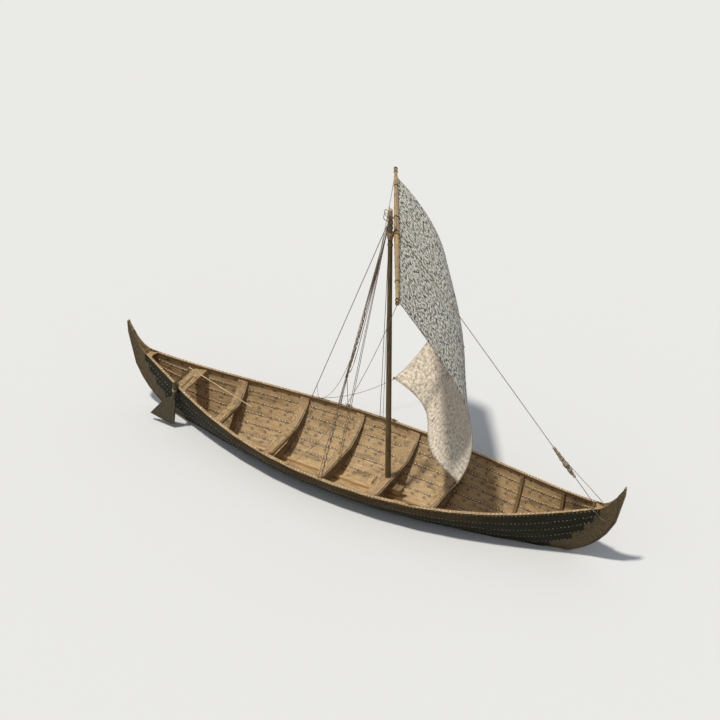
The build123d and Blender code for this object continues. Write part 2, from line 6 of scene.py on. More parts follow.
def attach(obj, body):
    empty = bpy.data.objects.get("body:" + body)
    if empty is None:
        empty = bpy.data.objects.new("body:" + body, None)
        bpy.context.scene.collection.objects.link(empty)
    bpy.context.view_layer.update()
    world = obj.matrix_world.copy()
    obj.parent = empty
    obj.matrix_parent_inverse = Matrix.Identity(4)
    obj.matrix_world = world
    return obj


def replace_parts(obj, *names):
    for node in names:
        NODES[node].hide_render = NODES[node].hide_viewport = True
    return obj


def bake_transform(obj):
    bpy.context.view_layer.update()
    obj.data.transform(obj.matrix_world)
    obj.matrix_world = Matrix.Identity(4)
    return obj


# Looks of an open clinker-built boat with one square sail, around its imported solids.
# Metres, origin on the waterline amidships, +X to the bow, +Y to port, +Z up.

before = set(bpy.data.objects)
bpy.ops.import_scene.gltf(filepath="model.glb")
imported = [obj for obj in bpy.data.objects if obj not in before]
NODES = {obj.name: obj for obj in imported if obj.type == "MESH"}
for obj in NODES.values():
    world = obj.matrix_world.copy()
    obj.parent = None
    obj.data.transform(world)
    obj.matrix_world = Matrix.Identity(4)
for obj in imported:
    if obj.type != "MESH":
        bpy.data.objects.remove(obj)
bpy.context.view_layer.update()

# The camera: its axes in the boat's frame, its place, its lens and sensor in mm, and its range
CAMERA_RIGHT = (0.86936, 0.49418, 0.0)
CAMERA_UP = (-0.28612, 0.50334, 0.81534)
CAMERA_BACK = (0.40293, -0.70882, 0.57898)
CAMERA_PLACE = (16.967, -29.956, 27.311)
CAMERA_LENS = 109.66
CAMERA_SENSOR = 36.0
CAMERA_RANGE = 200.0

# The hull's own curves, as in the part's source
FORE_REACH = 5.600
AFT_REACH = 5.535
HALF_BEAM = 1.214
SHEER_Z = 0.640
KEEL_Z = -0.300
TIP_RISE = 1.290
SHEER_RISE = 0.837
SHEER_POWER = 2.485
PLAN_POWER = 2.2
PLAN_TAPER = 1.39
STEM_START = 0.55
FORE_POWER = 2.26
AFT_POWER = 2.45
PLANK_END = 0.955
RAIL_END = 0.89
HOOK_DROP = 0.020
STAY_FOOT = 0.055
V_MIDSHIP = 0.30
V_ENDS = 0.90
PLANK = 0.018
LAP = 0.035
GAP = 0.0004
KEEL_HEIGHT = 0.120
RABBET = 0.060
RAIL_WIDTH = 0.034
RAIL_HEIGHT = 0.046
RAIL_ABOVE = 0.004
RAIL_INSIDE = 0.004
SIDE_Y = 0.0354
LAP_SHARES = (0.0, 0.20, 0.37, 0.53, 0.69, 0.84, 1.0)
STEP_ENDS = (0.70, 0.75, 0.83, 0.87, 0.90, 0.92)
STATIONS = (0.0, 0.15, 0.30, 0.44, 0.56, 0.64, 0.70, 0.75, 0.83, 0.87, 0.90, 0.92, PLANK_END)
SCARFS = ((-0.56, -0.30, 0.0, 0.30, 0.56), (-0.44, -0.15, 0.15, 0.44))
# Cross beams from aft: share of the reach at the forward edge, drop from the sheer, and width
BEAMS = ((-0.562, 0.207, 0.190), (-0.327, 0.409, 0.190), (-0.104, 0.476, 0.190),
         (0.1245, 0.409, 0.270), (0.3303, 0.409, 0.190))
HELM_SHARE = -0.711
FLOOR_HEIGHT = 0.110
STEP_HEIGHT = 0.110


def reach(t):
    return FORE_REACH if t >= 0 else AFT_REACH


def power(t):
    return FORE_POWER if t >= 0 else AFT_POWER


def place(share):
    return share * reach(share)


def share_of(x):
    return x / reach(x)


def gunwale_y(t):
    return HALF_BEAM * (1 - abs(t) ** PLAN_POWER) ** PLAN_TAPER


def gunwale_z(t):
    return SHEER_Z + SHEER_RISE * abs(t) ** SHEER_POWER


def stem_curve_z(t, inset):
    low = KEEL_Z + inset
    top = SHEER_Z + TIP_RISE
    end = 1 - inset / reach(t)
    share = (abs(t) - STEM_START) / (end - STEM_START)
    if share <= 0:
        return low
    share = min(share, 1.0)
    return top - (top - low) * (1 - share ** power(t)) ** (1 / power(t))


def side_point(t, s):
    """Point of the hull side at share t of the reach and share s of the girth, port side."""
    bottom = stem_curve_z(t, RABBET)
    straight = V_MIDSHIP + (V_ENDS - V_MIDSHIP) * t * t
    angle = math.radians(90 * s)
    across = (1 - straight) * math.sin(angle) + straight * s
    up = (1 - straight) * (1 - math.cos(angle)) + straight * s
    wide = max(gunwale_y(t) - PLANK - SIDE_Y, 0)
    return (SIDE_Y + wide * across, bottom + (gunwale_z(t) - bottom) * up)


def outward(a, b):
    dy = b[0] - a[0]
    dz = b[1] - a[1]
    length = math.hypot(dy, dz)
    return (dz / length, -dy / length)


def shifted(point, direction, distance):
    return (point[0] + direction[0] * distance, point[1] + direction[1] * distance)


def plank_sections(t):
    """Outline of each strake at share t of the reach, lowest strake first."""
    outlines = []
    below = None
    for i in range(len(LAP_SHARES) - 1):
        top = side_point(t, LAP_SHARES[i + 1])
        foot = side_point(t, LAP_SHARES[i])
        if below is None:
            normal = outward(foot, top)
            outlines.append([foot, top, shifted(top, normal, PLANK), shifted(foot, normal, PLANK)])
        else:
            knee = shifted(foot, below, PLANK + GAP)
            bottom = shifted(knee, (below[1], -below[0]), LAP)
            normal = outward(knee, top)
            middle = (below[0] + normal[0], below[1] + normal[1])
            length = math.hypot(*middle)
            middle = (middle[0] / length, middle[1] / length)
            outlines.append([bottom, knee, top, shifted(top, normal, PLANK),
                             shifted(knee, middle, PLANK), shifted(bottom, below, PLANK)])
        below = normal
    return outlines


def between_stations(t, value):
    """Values along the hull as its ruled planking has them: straight between stations."""
    for low, high in zip(STATIONS, STATIONS[1:]):
        if low <= abs(t) <= high:
            break
    share = (abs(t) - low) / (high - low)
    low = math.copysign(low, t)
    high = math.copysign(high, t)
    return [a + (b - a) * share for a, b in zip(value(low), value(high))]


def strake_outline(i, t):
    """Outline of strake i at any share t."""
    flat = between_stations(t, lambda at: [c for p in plank_sections(at)[i] for c in p])
    return [(flat[k], flat[k + 1]) for k in range(0, len(flat), 2)]


def rail_top(x):
    return between_stations(share_of(x), lambda at: (gunwale_z(at),))[0] + RAIL_ABOVE


def rail_y(x):
    return between_stations(share_of(x), lambda at: side_point(at, 1.0))[0] - RAIL_WIDTH / 2 - RAIL_INSIDE


# Mast, yard and sail, as in the part's source
MAST_BACK = 0.120         # of the mast's middle from its beam's forward edge
MAST_X = place(BEAMS[3][0]) - MAST_BACK
MAST_R = 0.060
MAST_TOP_R = 0.042
MAST_FOOT_Z = KEEL_Z + KEEL_HEIGHT + FLOOR_HEIGHT + STEP_HEIGHT + 3 * GAP
MAST_TOP = SHEER_Z + 5.785
HOUNDS_Z = SHEER_Z + 5.500
YARD_Z = SHEER_Z + 5.264
YARD_R = 0.048
YARD_END_R = 0.028
YARD_PORT = 2.390
YARD_STARBOARD = 2.315
YARD_CLEAR = 0.006
YARD_AHEAD = MAST_R + YARD_R + YARD_CLEAR
yaw = math.radians(29.2)
ALONG = Vector((-math.sin(yaw), math.cos(yaw), 0))
AHEAD = Vector((math.cos(yaw), math.sin(yaw), 0))
YARD_MID = Vector((MAST_X, 0, YARD_Z)) + AHEAD * YARD_AHEAD

SAIL_THICK = 0.012
SAIL_DROP = 0.045
SAIL_AHEAD = 0.030
CLEW = Vector((MAST_X - 0.536, 1.234, YARD_Z - 4.240))
TACK = Vector((MAST_X + 2.023, -0.925, YARD_Z - 4.374))
LEECHES = {
    "port": {"along": 2.110, "corner": CLEW, "ahead": (1.288, 1.448), "shift": (0.008, 0.109)},
    "starboard": {"along": -2.160, "corner": TACK, "ahead": (0.426, 1.093), "shift": (0.073, -0.091)},
}
SAIL_BELLY = 0.131
FOOT_BELLY = 0.044
FOOT_CURL = 0.200


def leech_point(side, v):
    row = LEECHES[side]
    head = YARD_MID + ALONG * row["along"] + AHEAD * SAIL_AHEAD - Vector((0, 0, SAIL_DROP))
    run = (row["corner"] - head) / 3
    first = head + run + AHEAD * row["ahead"][0] + ALONG * row["shift"][0]
    second = head + run * 2 + AHEAD * row["ahead"][1] + ALONG * row["shift"][1]
    return (head * (1 - v) ** 3 + first * 3 * v * (1 - v) ** 2
            + second * 3 * v * v * (1 - v) + row["corner"] * v ** 3)


def sail_point(u, v):
    """Middle of the cloth: u from port to starboard, v from the head to the foot."""
    port = leech_point("port", v)
    starboard = leech_point("starboard", v)
    belly = SAIL_BELLY * math.sin(math.pi * v ** 1.4) + FOOT_BELLY * v * v
    swell = belly * 4 * u * (1 - u) + FOOT_CURL * v ** 3 * math.sin(2 * math.pi * u)
    return port + (starboard - port) * u + AHEAD * (swell - SAIL_THICK / 2)


# Node helpers
class Shade:
    """A material's nodes, written as short calls."""

    def __init__(self, name):
        self.material = bpy.data.materials.new(name)
        self.material.use_nodes = True
        self.tree = self.material.node_tree
        self.bsdf = self.tree.nodes["Principled BSDF"]

    def put(self, socket, value):
        """Sets a socket, or links it where the value is another node's output."""
        if isinstance(value, bpy.types.NodeSocket):
            self.tree.links.new(value, socket)
        else:
            socket.default_value = value

    def node(self, kind, inputs=None, out=0, **settings):
        made = self.tree.nodes.new(kind)
        for key, value in settings.items():
            setattr(made, key, value)
        for key, value in (inputs or {}).items():
            self.put(made.inputs[key], value)
        return made.outputs[out]

    def coords(self, kind="Object"):
        return self.node("ShaderNodeTexCoord", out=kind)

    def scaled(self, vector, scale, turn=(0, 0, 0), move=(0, 0, 0)):
        return self.node("ShaderNodeMapping", {"Vector": vector, "Scale": scale, "Rotation": turn,
                                               "Location": move})

    def noise(self, vector, scale, detail=3.0, rough=0.5, bend=0.0):
        return self.node("ShaderNodeTexNoise", {"Vector": vector, "Scale": scale, "Detail": detail,
                                                "Roughness": rough, "Distortion": bend})

    def maths(self, operation, a, b=0.0):
        return self.node("ShaderNodeMath", {0: a, 1: b}, operation=operation)

    def times(self, a, b):
        return self.maths("MULTIPLY", a, b)

    def plus(self, a, b):
        return self.maths("ADD", a, b)

    def minus(self, a, b):
        return self.maths("SUBTRACT", a, b)

    def band(self, value, low, high, to_low=0.0, to_high=1.0):
        """Smooth step of a value from low to high."""
        return self.node("ShaderNodeMapRange", {"Value": value, "From Min": low, "From Max": high,
                                                "To Min": to_low, "To Max": to_high},
                         interpolation_type="SMOOTHSTEP")

    def fade(self, value, low, high):
        """The other way round: 1 below low, 0 above high."""
        return self.band(value, low, high, 1.0, 0.0)

    def mix(self, share, a, b):
        made = self.tree.nodes.new("ShaderNodeMix")
        made.data_type = "RGBA"
        for index, value in ((0, share), (6, a), (7, b)):
            self.put(made.inputs[index], value)
        return made.outputs[2]

    def tint(self, color, paint, cover, share):
        """Paint laid over a colour where cover is 1, by a share."""
        return self.mix(self.times(cover, share), color, paint)

    def over(self, color, paint, value, low, high, share):
        """Paint laid over a colour where a value is above low to high, by a share."""
        return self.tint(color, paint, self.band(value, low, high), share)

    def split(self, vector):
        made = self.tree.nodes.new("ShaderNodeSeparateXYZ")
        self.tree.links.new(vector, made.inputs[0])
        return made.outputs

    def bump(self, height, strength=0.5, distance=0.002):
        return self.node("ShaderNodeBump", {"Height": height, "Strength": strength, "Distance": distance})

    def finish(self, color, roughness, normal, **constants):
        for key, value in (("Base Color", color), ("Roughness", roughness), ("Normal", normal)):
            self.put(self.bsdf.inputs[key], value)
        for key, value in constants.items():
            self.bsdf.inputs[key.replace("_", " ")].default_value = value
        return self.material


def tone(r, g, b):
    """A colour given as it shows on screen, 0 to 255."""
    def linear(c):
        c /= 255
        return c / 12.92 if c <= 0.04045 else ((c + 0.055) / 1.055) ** 2.4
    return (linear(r), linear(g), linear(b), 1.0)


GRAIN_RINGS = 5.0
GRAIN_DEPTH = 0.003       # relief of the grain


def grain(shade, vector, scale):
    """Long grain: returns a slow figure and a fine fibre, both 0 to 1."""
    figure = shade.noise(shade.scaled(vector, scale), GRAIN_RINGS, 4.0, 0.6, 0.6)
    fine = shade.scaled(vector, tuple(c * 6 for c in scale))
    return figure, shade.noise(fine, GRAIN_RINGS * 1.5, 2.0, 0.7)


def grained(shade, color, figure, fibre, rough, fibre_share=0.6, strength=0.4, **constants):
    """The material of a wood, with its grain as relief."""
    height = shade.plus(shade.times(fibre, fibre_share), figure)
    return shade.finish(color, rough, shade.bump(height, strength, GRAIN_DEPTH), **constants)


def wood(name, light, dark, stain, scale, turn=(0, 0, 0)):
    """Plain sawn or hewn timber with grain along the axis of the smallest scale."""
    shade = Shade(name)
    vector = shade.scaled(shade.coords(), (1, 1, 1), turn)
    figure, fibre = grain(shade, vector, scale)
    color = shade.mix(shade.band(figure, 0.35, 0.68), dark, light)
    color = shade.over(color, stain, fibre, 0.45, 0.75, 0.45)
    color = shade.over(color, stain, shade.noise(vector, 3.2, 4.0, 0.65), 0.5, 0.72, 0.5)
    return grained(shade, color, figure, fibre, shade.band(figure, 0.2, 0.8, 0.55, 0.8), strength=0.35)


INNER_LIGHT = tone(222, 190, 142)
INNER_MID = tone(168, 138, 94)
INNER_DARK = tone(104, 82, 50)
WEATHERED = tone(84, 66, 44)
STAIN = tone(48, 47, 46)
BLOT = tone(80, 80, 80)
PAINTED_SHADOW_BLACK = tone(26, 26, 28)
TAR_LIGHT = tone(80, 70, 44)
TAR_MID = tone(44, 43, 26)
TAR_DARK = tone(14, 17, 10)
# Pale tone of rubbed wear on the stems, and of the painted highlight along the outer lap edges
RUBBED_AND_HIGHLIGHT = tone(176, 158, 116)
RIVET_PITCH = 0.072
RIVET_IN = 0.017          # rivet line from the edge of a lap
STAIN_PITCH = 0.27
U_STEP = 7.3              # shift of the grain from one strake to the next, and of a side
U_SIDE = 3.1
BROWN_NEAR = 1.8          # the top strake is brown amidships up to here, and tarred from there on
BROWN_FAR = 3.8


def repeat(shade, u, pitch, shift=0.5):
    """Distance from the middle of each repeat of a pitch, as a share of the pitch."""
    cell = shade.maths("FRACT", shade.plus(shade.maths("DIVIDE", u, pitch), shift))
    return shade.maths("ABSOLUTE", shade.minus(cell, 0.5))


def oval(shade, across, down, wide, high):
    """Squared distance from the middle of an oval, 1 on its edge."""
    a = shade.maths("POWER", shade.maths("DIVIDE", across, wide), 2.0)
    b = shade.maths("POWER", shade.maths("DIVIDE", down, high), 2.0)
    return shade.plus(a, b)


def seam_lines(shade):
    return shade.node("ShaderNodeAttribute", out="Fac", attribute_name="seam")


def plank_inside():
    """Oiled pine inside: grain along the run, damp under each lap, iron and tar stains, and a painted shadow
    round each rivet's rove.
    """
    shade = Shade("plank_inside")
    uv = shade.coords("UV")
    u, v, _ = shade.split(uv)
    figure, fibre = grain(shade, uv, (1.1, 15.0, 1.0))
    color = shade.mix(shade.band(figure, 0.3, 0.7), INNER_MID, INNER_LIGHT)
    worn = shade.noise(shade.scaled(uv, (0.9, 3.0, 1.0), move=(3.1, 0.4, 0)), 2.2, 3.0, 0.6)
    color = shade.over(color, INNER_DARK, worn, 0.45, 0.7, 0.6)
    color = shade.over(color, INNER_DARK, fibre, 0.5, 0.8, 0.5)
    # Coarse mottle of the weathered oil
    color = shade.over(color, INNER_DARK, shade.noise(uv, 26.0, 3.0, 0.8), 0.5, 0.66, 0.35)
    # Dark run under the lap, and painted shadow: a black spot round each rivet's rove, reaching a little
    # below it
    color = shade.tint(color, INNER_DARK, shade.fade(v, 0.030, 0.048), 0.38)
    beside = shade.times(repeat(shade, u, RIVET_PITCH, 0.0), RIVET_PITCH)
    spot = oval(shade, beside, shade.minus(v, RIVET_IN + 0.006), 0.024, 0.026)
    color = shade.tint(color, PAINTED_SHADOW_BLACK, shade.fade(spot, 0.6, 1.2), 0.92)
    # Blots that spread over the laps, and a looser row of them lower on each plank
    wide, high = 0.042, 0.034
    ragged = shade.times(shade.noise(uv, 30.0, 3.0, 0.7), 1.4)
    for seed, level, paint, share in ((1.7, 0.036, STAIN, 0.55), (2.9, 0.116, BLOT, 0.7)):
        drift = shade.noise(shade.scaled(uv, (1.0, 0.2, 1.0), move=(seed, 0, 0)), seed, 1.0)
        wander = shade.plus(u, shade.times(drift, 0.22))
        along = shade.times(repeat(shade, wander, STAIN_PITCH, seed), STAIN_PITCH)
        away = oval(shade, along, shade.minus(v, level), wide, high)
        color = shade.tint(color, paint, shade.fade(shade.plus(away, ragged), 0.6, 2.4), share)
    color = shade.tint(color, STAIN, seam_lines(shade), 0.85)
    return grained(shade, color, figure, fibre, shade.band(figure, 0.2, 0.8, 0.6, 0.82), 0.5)


def plank_outside(name, brown_share, highlight_wide):
    """Tarred outside: nearly black, browner amidships, with light runs along the lap edges that are painted
    highlight where the edges catch the light, broken up like rubbed wear, and painted shadow beside each
    rivet head.
    """
    shade = Shade(name)
    uv = shade.coords("UV")
    u, v, _ = shade.split(uv)
    figure, fibre = grain(shade, uv, (0.9, 13.0, 1.0))
    dark_to_light = shade.band(figure, 0.32, 0.72)
    color = shade.mix(dark_to_light, TAR_DARK, TAR_MID)
    patch = shade.noise(shade.scaled(uv, (0.7, 3.5, 1.0)), 2.0, 4.0, 0.62)
    color = shade.over(color, TAR_LIGHT, patch, 0.48, 0.7, 0.7)
    mottle = shade.noise(uv, 24.0, 3.0, 0.8)
    color = shade.over(color, TAR_DARK, mottle, 0.52, 0.68, 0.4)
    x = shade.maths("ABSOLUTE", shade.split(shade.coords())[0])
    brown = shade.mix(dark_to_light, tone(62, 46, 26), tone(128, 102, 64))
    brown = shade.mix(shade.band(mottle, 0.5, 0.62), brown, TAR_DARK)
    color = shade.tint(color, brown, shade.fade(x, BROWN_NEAR, BROWN_FAR), brown_share)
    # Painted highlight: light dashes along the lower edge of each lap, where it catches the light
    edge = shade.fade(v, highlight_wide * 0.4, highlight_wide)
    painted_highlight_dashes = shade.band(shade.noise(shade.scaled(uv, (2.6, 1.0, 1.0)), 2.0, 2.0), 0.50, 0.56)
    color = shade.tint(color, RUBBED_AND_HIGHLIGHT, shade.times(edge, painted_highlight_dashes), 0.85)
    # Painted shadow: a dark spot beside each rivet head, midway between heads along the lap line
    ring = shade.times(repeat(shade, u, RIVET_PITCH), RIVET_PITCH)
    away = oval(shade, ring, shade.minus(v, RIVET_IN), 0.021, 0.019)
    color = shade.tint(color, TAR_DARK, shade.fade(away, 0.6, 1.2), 0.7)
    color = shade.tint(color, TAR_DARK, seam_lines(shade), 0.8)
    rough = shade.band(patch, 0.3, 0.7, 0.6, 0.85)
    return grained(shade, color, figure, fibre, rough, 0.5, Specular_IOR_Level=0.2)


def stem_wood():
    """Carved stems: tarred on faces that point outward, oiled on those that point inward."""
    shade = Shade("stem_wood")
    spot = shade.coords()
    normal = shade.split(shade.coords("Normal"))
    side = shade.maths("SIGN", shade.split(spot)[1])
    out = shade.band(shade.times(normal[1], side), -0.15, 0.15)
    figure, fibre = grain(shade, spot, (1.2, 9.0, 9.0))
    dark_to_light = shade.band(figure, 0.3, 0.7)
    outer = shade.mix(dark_to_light, tone(62, 51, 28), tone(118, 96, 56))
    inner = shade.mix(dark_to_light, INNER_DARK, INNER_LIGHT)
    color = shade.mix(out, inner, outer)
    color = shade.over(color, TAR_DARK, shade.noise(spot, 26.0, 3.0, 0.8), 0.56, 0.66, 0.6)
    worn = shade.noise(shade.scaled(spot, (1, 1, 1), move=(2.2, 0, 0)), 20.0, 3.0, 0.8)
    color = shade.over(color, RUBBED_AND_HIGHLIGHT, worn, 0.58, 0.68, 0.5)
    # Pale top edge
    color = shade.over(color, tone(176, 146, 96), normal[2], 0.6, 0.9, 0.7)
    color = shade.over(color, TAR_DARK, fibre, 0.5, 0.8, 0.5)
    return grained(shade, color, figure, fibre, 0.68, 0.5)


def keel_wood():
    """Tarred keel whose top, inside the boat, is oiled like the planks."""
    shade = Shade("keel_wood")
    spot = shade.coords()
    level = KEEL_Z + RABBET
    figure, fibre = grain(shade, spot, (0.9, 9.0, 9.0))
    dark_to_light = shade.band(figure, 0.3, 0.7)
    outer = shade.mix(dark_to_light, TAR_DARK, TAR_LIGHT)
    inner = shade.mix(dark_to_light, INNER_MID, INNER_LIGHT)
    color = shade.mix(shade.band(shade.split(spot)[2], level - 0.010, level), outer, inner)
    color = shade.over(color, STAIN, fibre, 0.5, 0.8, 0.4)
    return shade.finish(color, 0.7, shade.bump(figure, 0.4, GRAIN_DEPTH))


def beam_wood(name, front):
    """Cross beam with a painted shadow line along its forward top edge and painted shade on its forward face,
    front being that edge's x.
    """
    shade = Shade(name)
    spot = shade.coords()
    facing, _, up = shade.split(shade.coords("Normal"))
    figure, fibre = grain(shade, spot, (12.0, 1.1, 12.0))
    color = shade.mix(shade.band(figure, 0.32, 0.68), tone(148, 118, 78), tone(214, 182, 134))
    color = shade.over(color, WEATHERED, fibre, 0.45, 0.75, 0.5)
    color = shade.over(color, tone(92, 76, 58), shade.noise(spot, 7.0, 4.0, 0.7), 0.5, 0.66, 0.6)
    color = shade.over(color, STAIN, shade.noise(spot, 40.0, 3.0, 0.8), 0.56, 0.68, 0.6)
    # Painted shade: the forward face is greyed as if out of the light
    color = shade.over(color, tone(84, 80, 66), facing, 0.4, 0.8, 0.75)
    # Painted shadow: a wavering black line just behind the forward top edge, on the top faces only
    back = shade.minus(front, shade.split(spot)[0])
    wavy = shade.times(shade.noise(spot, 5.0, 2.0), 0.012)
    line = shade.maths("ABSOLUTE", shade.minus(shade.plus(back, wavy), 0.030))
    line = shade.times(shade.fade(line, 0.006, 0.014), shade.band(up, 0.5, 0.9))
    color = shade.tint(color, PAINTED_SHADOW_BLACK, line, 0.9)
    return grained(shade, color, figure, fibre, 0.72)


def rail_wood():
    """Rail, pale on its top, with painted shade making its sides brown."""
    shade = Shade("rail_wood")
    spot = shade.coords()
    up = shade.split(shade.coords("Normal"))[2]
    figure, fibre = grain(shade, spot, (1.3, 16.0, 16.0))
    dark_to_light = shade.band(figure, 0.35, 0.68)
    top = shade.mix(dark_to_light, tone(150, 120, 78), tone(208, 176, 126))
    sides = shade.mix(dark_to_light, tone(84, 62, 36), tone(136, 106, 66))
    # Painted shade: faces that do not point up are given the darker brown
    color = shade.mix(shade.band(up, 0.5, 0.8), sides, top)
    color = shade.over(color, tone(60, 46, 28), fibre, 0.45, 0.75, 0.45)
    return grained(shade, color, figure, fibre, 0.7, strength=0.35)


def mast_wood():
    """Dark weathered mast, paler at its tip."""
    shade = Shade("mast_wood")
    spot = shade.coords()
    z = shade.split(spot)[2]
    figure, fibre = grain(shade, spot, (14.0, 14.0, 0.8))
    color = shade.mix(shade.band(figure, 0.34, 0.66), tone(70, 59, 36), tone(136, 114, 74))
    color = shade.over(color, tone(34, 30, 20), fibre, 0.5, 0.75, 0.6)
    color = shade.over(color, tone(150, 132, 96), shade.noise(spot, 34.0, 3.0, 0.8), 0.55, 0.68, 0.5)
    color = shade.over(color, tone(190, 170, 130), z, MAST_TOP - 0.16, MAST_TOP - 0.08, 0.8)
    return grained(shade, color, figure, fibre, 0.75)


MATERIALS = {
    "inside": plank_inside(),
    "outside": plank_outside("plank_outside", 0.0, 0.010),
    "outside_low": plank_outside("plank_outside_low", 0.0, 0.020),
    "outside_top": plank_outside("plank_outside_top", 0.9, 0.008),
    "stem": stem_wood(),
    "keel": keel_wood(),
    "rail": rail_wood(),
    "beam": wood("plank_seat_wood", tone(204, 172, 124), tone(146, 116, 76), WEATHERED,
                 (12.0, 1.2, 12.0)),
    "floor": wood("floor_wood", tone(160, 130, 90), tone(108, 86, 56), tone(60, 52, 38),
                  (12.0, 1.2, 12.0)),
    "mast": mast_wood(),
    "yard": wood("yard_wood", tone(206, 176, 126), tone(156, 126, 82), WEATHERED, (14.0, 0.9, 14.0),
                 turn=(0, 0, -yaw)),
    "rudder": wood("rudder_wood", tone(104, 92, 58), tone(52, 48, 30), tone(22, 22, 16),
                   (10.0, 10.0, 1.2)),
    "peg": wood("peg_wood", tone(92, 68, 44), tone(58, 42, 28), tone(34, 26, 20), (9.0, 9.0, 9.0)),
    "stick": wood("stick_wood", tone(240, 214, 166), tone(190, 162, 116), tone(110, 90, 60),
                  (1.5, 12.0, 12.0)),
}
# Material of each node, by the start of its name
PAINTS = (("stem", "stem"), ("keel", "keel"), ("gunwale", "rail"), ("breasthook", "rail"),
          ("cleat", "rail"), ("helm_plank", "beam"), ("floor", "floor"), ("frame", "floor"),
          ("mast_step", "floor"), ("mast", "mast"), ("yard", "yard"), ("parrel", "yard"),
          ("rudder", "rudder"), ("tiller_stick", "stick"), ("tiller", "rudder"))


def give(node, material):
    """Puts one material on a node of the part."""
    obj = NODES[node]
    obj.data.materials.clear()
    obj.data.materials.append(material)


for name in NODES:
    if name.startswith("beam"):
        front_edge = max((NODES[name].matrix_world @ v.co).x for v in NODES[name].data.vertices)
        give(name, beam_wood(name + "_wood", front_edge))
        continue
    for start, paint in PAINTS:
        if name.startswith(start):
            give(name, MATERIALS[paint])
            break


# Mesh helpers
def mesh_object(name, points, faces, material, body="hull", uvs=None, picks=None,
                smooth=True):
    """Object of one mesh that rides on a body; uvs go by face corner, picks by face."""
    mesh = bpy.data.meshes.new(name)
    mesh.from_pydata([tuple(p) for p in points], [], faces)
    materials = material if isinstance(material, (list, tuple)) else [material]
    for item in materials:
        mesh.materials.append(item)
    if picks is not None:
        mesh.polygons.foreach_set("material_index", picks)
    mesh.polygons.foreach_set("use_smooth", [smooth] * len(mesh.polygons))
    if uvs is not None:
        layer = mesh.uv_layers.new(name="UVMap")
        layer.data.foreach_set("uv", [c for pair in uvs for c in pair])
    mesh.update()
    made = bpy.data.objects.new(name, mesh)
    bpy.context.scene.collection.objects.link(made)
    if body is not None:
        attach(made, body)
    return made


FINE_PARTS = 3


def fine_shares(end):
    """Shares of the reach from aft to fore, with each span between stations divided."""
    shares = [t for t in STATIONS if t <= end]
    fine = []
    for low, high in zip(shares, shares[1:]):
        fine += [low + (high - low) * k / FINE_PARTS for k in range(FINE_PARTS)]
    fine.append(shares[-1])
    return [-t for t in fine[:0:-1]] + fine


SEAM = 0.0006             # half-width of a plank seam as a share of the reach
SEAM_DEPTH = 0.003
SEAM_WAIST = 0.5


def between(a, b, distance):
    """Point at a distance from a towards b."""
    away = math.hypot(b[0] - a[0], b[1] - a[1])
    share = min(distance / max(away, 1e-9), 1.0)
    return (a[0] + (b[0] - a[0]) * share, a[1] + (b[1] - a[1]) * share)


def strake(i, side, word):
    """One strake as a single skin with its run and its width unrolled for the grain."""
    end = STEP_ENDS[i]
    scarfs = SCARFS[i % 2]
    shares = [t for t in fine_shares(end) if min(abs(t - s) for s in scarfs) > 3 * SEAM]
    rows = []
    for t in sorted(shares + [s + SEAM * k for s in scarfs for k in (-1, 0, 1)]):
        x = place(t)
        if abs(t) == end:
            x -= math.copysign(GAP, t)
        outline = strake_outline(i, t)
        if t in scarfs:
            # The seam between two planks of the strake, as a fine groove all round
            my = sum(y for y, z in outline) / len(outline)
            mz = sum(z for y, z in outline) / len(outline)
            outline = [(my + (y - my) * SEAM_WAIST, mz + (z - mz) * SEAM_WAIST) for y, z in outline]
            outline = [between(a, b, SEAM_DEPTH) for a, b in zip(strake_outline(i, t), outline)]
        rows.append((x, outline))
    grooves = [k for k, row in enumerate(rows) if min(abs(row[0] - place(s)) for s in scarfs) < 1e-6]
    count = len(rows[0][1])
    points = [(x, side * y, z) for x, outline in rows for y, z in outline]
    faces, uvs, picks = [], [], []
    inner_edges = [0] if i == 0 else [0, 1]
    top = 1 if i == 0 else 2
    for j in range(len(rows) - 1):
        for k in range(count):
            after = (k + 1) % count
            spots = [(j, k), (j, after), (j + 1, after), (j + 1, k)]
            if side < 0:
                spots.reverse()
            faces.append([row * count + at for row, at in spots])
            inner = k in inner_edges
            picks.append(0 if inner or k == top else 1)
            for row, at in spots:
                outline = rows[row][1]
                anchor = outline[top] if inner else outline[-1]
                uvs.append((rows[row][0] + U_STEP * i + U_SIDE * side, math.dist(outline[at], anchor)))
    for j, flip in ((0, side > 0), (len(rows) - 1, side < 0)):
        cap = [j * count + k for k in range(count)]
        faces.append(cap[::-1] if flip else cap)
        picks.append(1)
        uvs += [(U_STEP * i + 0.02 * k, 0.1) for k in range(count)]
    paint = "outside_top" if i == len(STEP_ENDS) - 1 else "outside_low" if i < 3 else "outside"
    made = mesh_object(f"planking_{i + 1}_{word}", points, faces, [MATERIALS["inside"], MATERIALS[paint]],
                       uvs=uvs, picks=picks)
    # Smooth along the run, sharp along every edge of the outline
    mesh = made.data
    sharp = mesh.attributes.new("sharp_edge", "BOOLEAN", "EDGE")
    flags = []
    for edge in mesh.edges:
        a, b = edge.vertices
        flags.append(abs(a - b) == count or a // count != b // count
                     or min(a, b) < count or max(a, b) >= len(points) - count)
    sharp.data.foreach_set("value", flags)
    seam = mesh.attributes.new("seam", "FLOAT", "POINT")
    seam.data.foreach_set("value", [1.0 if k // count in grooves else 0.0 for k in range(len(points))])
    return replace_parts(made, f"strake_{i + 1}_{word}")


for side, word in ((1, "port"), (-1, "starboard")):
    for i in range(len(STEP_ENDS)):
        strake(i, side, word)


# Sail
PANEL = 0.61              # width of a panel of the cloth
WEAVE = {"Scale": 62.0, "Distortion": 2.0, "Detail": 1.0}


